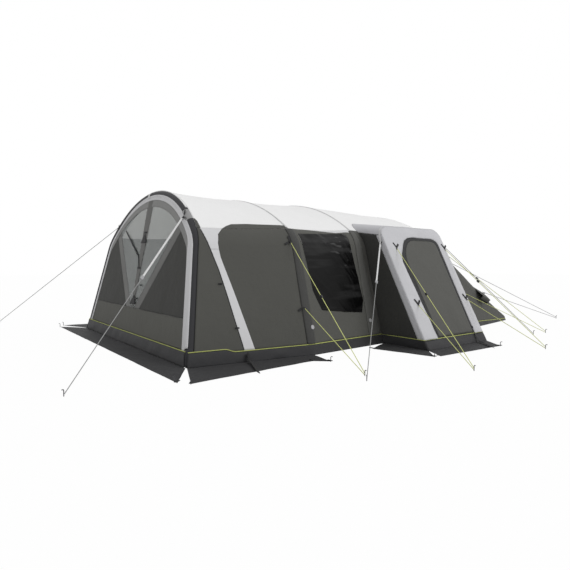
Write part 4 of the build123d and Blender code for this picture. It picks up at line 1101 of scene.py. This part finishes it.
porch_low = mud_top / porch_up + 0.004
edging_outline = np.array([
    (-0.105, 0.13), (-0.150, 0.70), (-0.183, 1.135), (-0.163, 1.20), (-0.127, 1.26), (-0.080, 1.315), (-0.03, 1.378),
    (0.037, 1.442), (0.12, 1.478), (0.243, 1.493), (0.40, 1.488), (0.537, 1.484), (0.66, 1.483), (0.72, 1.470),
    (0.775, 1.440), (0.795, 1.395), (0.785, 1.20), (0.769, 0.916), (0.737, 0.13),
]) / (1, porch_up)
door_outline = np.array([
    (-0.072, 0.15), (-0.080, 0.70), (-0.085, 1.13), (-0.075, 1.19), (-0.050, 1.25), (-0.010, 1.31), (0.04, 1.365),
    (0.10, 1.41), (0.17, 1.437), (0.26, 1.448), (0.40, 1.446), (0.537, 1.443), (0.64, 1.440), (0.69, 1.428),
    (0.725, 1.40), (0.736, 1.35), (0.730, 1.20), (0.722, 0.90), (0.700, 0.15),
]) / (1, porch_up)
rim = 260
outer_rim, edging_rim = spread_flat(porch_outline(0, porch_low), rim), spread_flat(edging_outline, rim)
door_rim = spread_flat(door_outline, rim)
share = np.linspace(0, 1, 16)[None, :, None]
flat = (outer_rim[:, None] * (1 - share) + edging_rim[:, None] * share)[::-1]
frame_swell, frame_lump, frame_cell = 0.014, 0.003, 0.14
swell = frame_swell * np.sin(pi * share[..., 0]) ** 0.7
swell = swell + frame_lump * lumps(flat[..., 0] / frame_cell, flat[..., 1] / frame_cell + 9, 95)
points = on_porch(flat) + swell[..., None] * porch_out
frame_points = points
sew(grid_mesh("porch_frame_cloth", points, flat), (pale_cloth, wall_lining), ["porch_front_frame"])
hinge_gap, hinge_from = 0.005, -0.072
hinge_room = hinge_gap * np.clip((hinge_from - door_rim[:, 0]) / hinge_gap, 0, 1)
inner_rim = door_rim - np.stack([hinge_room, 0 * hinge_room], -1)
points = ruled(on_porch(edging_rim[::-1], -0.0004), on_porch(inner_rim[::-1], -0.0008), 5)
sew(grid_mesh("porch_door_edging", points), (edging_cloth,), ["porch_front_frame"])
block_rows("porch_stitches", [beside_edge(frame_points, edge, 0.012) for edge in ("left", "right")], pale_thread,
           stitch_pitch, *stitch_size)

sill_levels = np.stack([np.full(30, 0.1275), np.full(30, 0.165)], -1) / porch_up
points = on_porch(np.stack([np.repeat(np.linspace(-0.30, 0.90, 30)[:, None], 2, 1), sill_levels], -1), -0.005)
sew(grid_mesh("porch_sill", points), (porch_dark,), ["porch_front_frame"])

door_left, door_right = door_rim[:int(rim * 0.5)], door_rim[int(rim * 0.5):][::-1]
door_left, door_right = spread_flat(door_left, 70), spread_flat(door_right, 70)
flat = ruled(np.insert(door_left, 2, 0, axis=1), np.insert(door_right, 2, 0, axis=1), 44)[..., :2]
share = np.linspace(0, 1, 44)[None]
door_slack = 0.006
slack = door_slack * lumps(flat[..., 0] / 0.25, flat[..., 1] / 0.4 + 5, 97) * np.sqrt(4 * share * (1 - share))
points = (on_porch(flat, 0.001) + slack[..., None] * porch_out).swapaxes(0, 1)
sew(grid_mesh("door_flap", points, flat.swapaxes(0, 1)), (door_cloth, wall_lining), ["porch_door"],
    body="porch_door_body")

beam_rim = spread_flat(porch_outline(porch_beam_inset, 0.060), 200)
trim(tube_mesh("porch_sleeve", on_porch(beam_rim, -porch_beam_inset), porch_beam_radius, 20), sleeve_cloth,
     ["porch_beam_sleeve", "porch_bladder"])


def tent_section(share):
    """The tent's near side and roof, as heights over distances across, at a share of the rear bay."""
    v = np.linspace(0, 0.5, 700)
    line = arch_line(third, v) * (1 - share) + arch_line(rear, v) * share
    return line[:, 1], line[:, 2]


def porch_reach(start, share):
    """Where a line that runs back from the porch front, with the porch roof's slope, meets the tent."""
    y, z = tent_section(share)
    run = np.linspace(0, 1.5, 1500)
    inside = np.interp(start[1] + run, y, z, left=0) > start[2] + porch_roof_slope * run
    far = run[np.argmax(inside)]
    return start + far * np.array((0, 1, porch_roof_slope))


strip_depth, wall_slack, wall_back = 0.105, 0.008, 0.004
for name, x, share, facing_left in (
    ("porch_left_wall", porch_left, left_share, True), ("porch_right_wall", porch_right, right_share, False),
):
    front_edge = on_porch(np.stack([np.full(60, x), np.linspace(porch_low, porch_shoulder, 60)], -1))
    y, z = tent_section(share)
    top = porch_reach(front_edge[-1], share)
    heights = np.linspace(mud_top + 0.004, top[2], 60)
    back_edge = np.stack([np.full(60, x), np.interp(heights, z, y), heights], -1)
    strip_end = front_edge + np.array((0, strip_depth, 0)) * (1 if facing_left else 0.3)
    main = ruled(strip_end, back_edge, 40)
    slack = wall_slack * lumps(main[..., 1] / 0.3 + 11, main[..., 2] / 0.4 + 7, 98)
    slack *= np.sqrt(4 * np.linspace(0, 1, 40) * np.linspace(1, 0, 40))[None]
    main[..., 0] -= slack + wall_back
    strip = ruled(front_edge, strip_end, 6)
    if not facing_left:
        main[..., 0] += 2 * wall_back
        main, strip = main[:, ::-1], strip[:, ::-1]
    sew(grid_mesh(name + "_cloth", main), (porch_dark, wall_lining), [name])
    sew(grid_mesh(name + "_strip", strip), (pale_cloth, wall_lining), [name])

profile = porch_outline(0, porch_shoulder)
profile = spread_flat(profile[1:-1], 90)
starts = on_porch(profile)
ends = np.array([porch_reach(p, (p[0] - third["x"]) / tent_length) for p in starts])
points = ruled(starts, ends, 30)
porch_swell, swell_cell = 0.006, 0.2
swell = porch_swell * lumps(points[..., 0] / swell_cell + 3, points[..., 1] / swell_cell + 13, 99)
swell *= np.sin(pi * np.linspace(0, 1, 30))[None]
points = points + facing(points) * swell[..., None]
sew(grid_mesh("porch_roof_cloth", points), (pale_cloth, roof_lining), ["porch_roof"])

opening = [(-0.397, 0.0), (0.937, 0.0), (0.937, 1.45), (-0.397, 1.45)]
sew(cut_along(grid_mesh("near_rear_wall_base", bays["rear"][0]), "near_rear_wall_cloth", opening, False),
    (wall_cloth, wall_lining), ["near_rear_wall"])

# Tail: a sloping panel from the rear arch down to the ground, that sags in the middle, with a vent
# hood sewn over its near hip and a cloth partition between the bedroom and the living room.
sew(grid_mesh("tail_panel_cloth", bays["tail"][1]), (wall_cloth, wall_lining), ["tail_panel"])
tail_rows = [beside_edge(bays["tail"][k], edge) for k, edge in ((0, "right"), (1, "left"), (1, "right"), (2, "left"))]
block_rows("tail_stitches", tail_rows, dark_thread, stitch_pitch, *stitch_size)
hood_place = np.array((2.655, -1.7195, 0.5605))
hood_down, hood_out = np.array((0.876, 0.014, -0.482)), np.array((0.4127, -0.538, 0.735))
hood_across = np.cross(hood_out, hood_down)
hood_length, hood_width, hood_lift, hood_cheek = 0.230, 0.360, 0.030, 0.070
hood_crown, hood_tuck, hood_end = 0.012, 0.4, 0.47


def hood_ring(u, line):
    """One ring of the hood, a share of the way down it, from (across, out) places."""
    return [hood_place + hood_down * u * hood_length + hood_across * s * hood_width + hood_out * h for s, h in line]


rows = []
for u in np.linspace(-0.5, 0.5, 12):
    lift = hood_lift * (u + 0.5)
    ridge = [(s, lift + hood_crown * (1 - (2 * s) ** 2) * (u + 0.5)) for s in np.linspace(-0.5, 0.5, 17)]
    ring_line = [(-0.5, lift - hood_cheek), (-0.5, lift - hood_tuck * hood_cheek)] + ridge + [
        (0.5, lift - hood_tuck * hood_cheek), (0.5, lift - hood_cheek),
    ]
    rows.append(hood_ring(u, ring_line))
closing = [(s, -hood_cheek + min(h, 0) * 0.1) for s, h in ring_line]
rows.append(hood_ring(hood_end, closing))
sew(grid_mesh("vent_hood", np.array(rows)), (wall_cloth,), ["tail_vent_hood"])

partition_x, partition_inset = 1.10, 0.030
partition_arch = arch(partition_x, 2.0873, 2.0116)
y, z = arch_flat(partition_arch, np.linspace(0, 0.5, 900), partition_inset)
share = np.linspace(-1, 1, 90)[None]
partition_seam, partition_wave, wave_length = 1.86, 0.012, 0.09
for name, low, high, shade in (("lower", 0.01, partition_seam, 0.30), ("upper", partition_seam, z[-1] - 0.004, 0.62)):
    levels = np.linspace(low, high, 60)
    half = np.interp(levels, z, -y)
    points = np.stack([np.full((60, 90), partition_x), half[:, None] * share, levels[:, None] + 0 * share], -1)
    points[..., 0] += partition_wave * np.sin(points[..., 1] / wave_length) * np.sqrt(1 - share ** 2)
    # Each part has a painted glow, an emission standing in for the light inside the tent.
    skin = cloth(f"partition_{name}_cloth", (shade, shade, 0.98 * shade), glow=0.1)
    sew(grid_mesh(f"partition_{name}_cloth", points, points[..., 1:]), (skin,), ["bedroom_partition"])

# Guy patches: crossed black webbing bar-tacked to the cloth, each with a stiff loop for its line.
# Those of the porch have two arms and the others three.
line_ends = {
    "far_front": ((-2.99822, 1.24684, 1.66312), (-4.69454, 2.52588, 0.020), (-0.981, 0, 0.196)),
    "near_front": ((-2.99808, -1.24494, 1.66163), (-4.57419, -2.30609, 0.020), (-0.981, 0, 0.196)),
    "second_upper": ((-1.80622, -1.84474, 1.37014), (-2.00903, -3.313, 0.034), (-0.09, -0.902, 0.423)),
    "second_lower": ((-1.77408, -2.08322, 0.563708), (-2.00888, -3.31411, 0.014), (-0.092, -0.962, 0.258)),
    "porch_left_corner": ((-0.43471, -2.07901, 1.38134), (-2.13496, -3.46589, 0.020), (-1, 0, 0)),
    "porch_right_corner": ((0.971294, -2.04583, 1.43537), (2.11438, -2.95553, 0.020), (1, 0, 0)),
    "porch_left_upper": ((-0.226344, -2.20486, 1.31465), (-0.927337, -3.83381, 0.034), porch_out),
    "porch_left_lower": ((-0.265728, -2.61674, 0.557456), (-0.927206, -3.83485, 0.014), porch_out),
    "porch_right_upper": ((0.896329, -2.20248, 1.31712), (0.96965, -3.67299, 0.034), porch_out),
    "porch_right_lower": ((0.872821, -2.6056, 0.578881), (0.969436, -3.67377, 0.014), porch_out),
    "rear_shoulder": ((1.34033, -1.71472, 1.38202), (2.42554, -2.99474, 0.034), (0.025, -0.838, 0.545)),
    "rear_lower": ((1.34477, -1.90607, 0.767351), (2.42566, -2.99563, 0.014), (0.025, -0.966, 0.259)),
    "rear_upper": ((1.35548, -1.76974, 1.21107), (4.6343, -2.17929, 0.034), (0.025, -0.966, 0.259)),
    "tail_hood": ((2.75955, -1.75622, 0.564708), (4.63464, -2.17879, 0.014), (0.178, -0.524, 0.833)),
}
loop_length, loop_width, loop_thickness = 0.0352, 0.020, 0.004
knot_height, patch_lift, frame_room = 0.012, 0.004, 0.012
arm_length, arm_width, arm_thickness = 0.085, 0.028, 0.003
small_patches = {"porch_left_corner": 0.025, "porch_right_corner": 0.05, "tail_hood": 0.035, "far_front": 0.05}


def joined(name, meshes):
    """Several meshes made one."""
    edit = bmesh.new()
    for mesh in meshes:
        edit.from_mesh(mesh)
    whole = bpy.data.meshes.new(name)
    edit.to_mesh(whole)
    edit.free()
    return whole


patch_parts = []
for name, (start, end, out) in line_ends.items():
    start, end, out = (np.array(p, float) for p in (start, end, out))
    out, run = unit(out), unit(end - start)
    knot = start - run * loop_length
    place = knot - out * (knot_height - patch_lift)
    if name.startswith("porch_") and "corner" not in name:
        place = place + out * frame_room
    upward = unit(np.array((0, 0, 1.0)) - out * out[2])
    sideways = np.cross(out, upward)
    for turn in np.radians((65, 140) if name.startswith("porch") else (90, 205, 335)):
        arm = cos(turn) * sideways + sin(turn) * upward
        path = np.array([place + arm * reach * small_patches.get(name, arm_length) for reach in (0, 0.3, 0.65, 1.0)])
        patch_parts.append(swept("arm", path, flat_band(arm_width, arm_thickness), np.cross(out, arm), smooth=False))
    tab = [place, (place + knot) / 2 + out * loop_thickness, knot, start + run * loop_thickness]
    patch_parts.append(swept("tab", tab, flat_band(loop_width, loop_thickness), sideways, smooth=False))
trim(joined("guy_patch_webbing", patch_parts), webbing, ["guy_patches"])

# Webbing: short black loops on the light strip for its peg points, straps from the strip's foot and
# the porch's foot down to the skirts, tabs at the skirts' corners, and a pale strap sewn up the
# corner between the porch and the tent.
loop_half, loop_out = 0.018, 0.005
for name, share, height in (("upper_loop", 0.238, 0.884), ("lower_loop", 0.371, 0.385)):
    path = wall_line(front, second, np.linspace(share - loop_half, share + loop_half, 5), height) - (0, loop_out, 0)
    trim(swept(name, path, flat_band(0.016, 0.004), (0, 0, 1), smooth=False), webbing)
straps = {
    "foot_strap": (
        [(-2.600, -2.085, 0.115), (-2.615, -2.13, 0.035), (-2.66, -2.27, 0.022), (-2.80, -2.60, 0.010)],
        20, (0.038, 0.006), (1, 0.4, 0), webbing,
    ),
    "porch_foot_strap": (
        [(0.715, -2.822, 0.135), (0.70, -2.90, 0.030), (0.60, -3.05, 0.022), (0.43, -3.27, 0.018)],
        24, (0.030, 0.004), (1, 0.3, 0), webbing,
    ),
    "porch_corner_webbing": (
        [(-0.4347, -2.079, 1.3813), (-0.412, -2.062, 1.43), (-0.407, -2.040, 1.505), (-0.388, -2.018, 1.575),
         (-0.345, -2.000, 1.618)],
        24, (0.022, 0.003), (0, 1, 0), strap_webbing,
    ),
}
for name, (route, count, size, across, skin) in straps.items():
    trim(swept(name, spread(route, count), flat_band(*size), across, smooth=False), skin)

tab_places = [
    (-3.54, -2.58), (-3.63, -2.46), (-1.82, -2.60), (-1.96, -2.46), (-0.84, -2.33), (-0.64, -3.14), (-0.56, -3.17),
    (0.70, -3.21),
]
tab_span, tab_from, tab_height = (-3.2, 0.3), -2.1, 0.014
for k, (x, y) in enumerate(tab_places):
    away = unit(np.array((x - np.clip(x, *tab_span), y - tab_from, 0)))
    path = [np.array((x, y, tab_height)) + away * reach for reach in (-0.05, 0, 0.025)]
    trim(swept(f"skirt_tab_{k}", path, flat_band(0.030, 0.005), np.cross(away, (0, 0, 1)), smooth=False), webbing)

# Guy lines: braided cords under tension between the patches and the pegs. Two of them are wide
# webbing down to a buckle, and plain cord below it. Four have a sliding tensioner.
cord_width, strap_width, strap_thickness, buckle_half = 0.008, 0.020, 0.003, 0.023
lime_cord = thread_material("lime_cord", (0.62, 0.66, 0.24), 0.7)
grey_cord = thread_material("grey_cord", (0.28, 0.28, 0.28), 0.7)
line_sets = {
    "front_lines": (grey_cord, ("far_front", "near_front")),
    "side_lines": (lime_cord, ("second_upper", "second_lower")),
    "porch_corner_lines": (grey_cord, ("porch_left_corner", "porch_right_corner")),
    "porch_left_lines": (lime_cord, ("porch_left_upper", "porch_left_lower")),
    "porch_right_lines": (lime_cord, ("porch_right_upper", "porch_right_lower")),
    "rear_lines": (lime_cord, ("rear_shoulder", "rear_lower")),
    "tail_lines": (grey_cord, ("rear_upper", "tail_hood")),
}
strap_shares = {"near_front": 0.42, "porch_left_corner": 0.36}


def taut_cord(name, start, end, material, node, width=cord_width):
    """A cord pulled straight from one place to another."""
    start, end = Vector(start), Vector(end)
    run = (end - start).normalized() * (6 * width)
    curve = bpy.data.curves.new(name, "CURVE")
    curve.dimensions = "3D"
    curve.bevel_depth, curve.bevel_resolution = width / 2, 3
    curve.use_fill_caps = True
    spline = curve.splines.new("NURBS")
    places = [start, start + run, end - run, end]
    spline.points.add(len(places) - 1)
    for point, place in zip(spline.points, places):
        point.co = (*place, 1)
    spline.order_u = 3
    spline.use_endpoint_u = True
    piece = bpy.data.objects.new(name, curve)
    scene.collection.objects.link(piece)
    curve.materials.append(material)
    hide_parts(node)
    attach(piece, "tent")
    return piece


for node, (material, names) in line_sets.items():
    for name in names:
        start, end, out = line_ends[name]
        start, end = Vector(start), Vector(end)
        if name in strap_shares:
            run = (end - start).normalized()
            middle = start.lerp(end, strap_shares[name])
            above = middle - run * buckle_half
            path = np.array([start.lerp(above, share) for share in np.linspace(0, 1, 12)])
            mesh = swept(name + "_strap", path, flat_band(strap_width, strap_thickness), (1, 0, 0), smooth=False)
            strap = piece_from(mesh, strap_webbing)
            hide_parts(node)
            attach(strap, "tent")
            start = middle + run * buckle_half
        taut_cord(name + "_cord", start, end, material, node)

# Buckles, tensioners, zip sliders, valves and pegs: moulded plastic and bent steel rod, as in the
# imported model.
moulded = thread_material("black_plastic", (0.020, 0.020, 0.021), 0.45)
valve_plastic = thread_material("valve_plastic", (0.40, 0.40, 0.41), 0.45)
buckle_plastic = thread_material("buckle_plastic", (0.30, 0.30, 0.31), 0.45)
steel, tree = bare_material("peg_steel")
place = wire(tree, "ShaderNodeTexCoord").outputs["Object"]
grain = wire(tree, "ShaderNodeTexNoise", {"Vector": place, "Scale": 90.0}).outputs[0]
rough = wire(tree, "ShaderNodeMapRange", {"Value": grain, "To Min": 0.25, "To Max": 0.5}).outputs["Result"]
coat(tree, {"Base Color": (0.09, 0.09, 0.095, 1), "Metallic": 1.0, "Roughness": rough})
kept_parts = {
    buckle_plastic: ["buckles"],
    moulded: ["side_tensioner", "porch_left_tensioner", "porch_right_tensioner", "rear_tensioner",
              "gable_zip_slider", "door_zip_slider"],
    valve_plastic: ["valve_bodies", "second_valve_cap", "third_valve_cap"],
    steel: ["pegs"],
}
for material, names in kept_parts.items():
    for name in names:
        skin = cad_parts[name].data.materials
        skin.clear()
        skin.append(material)
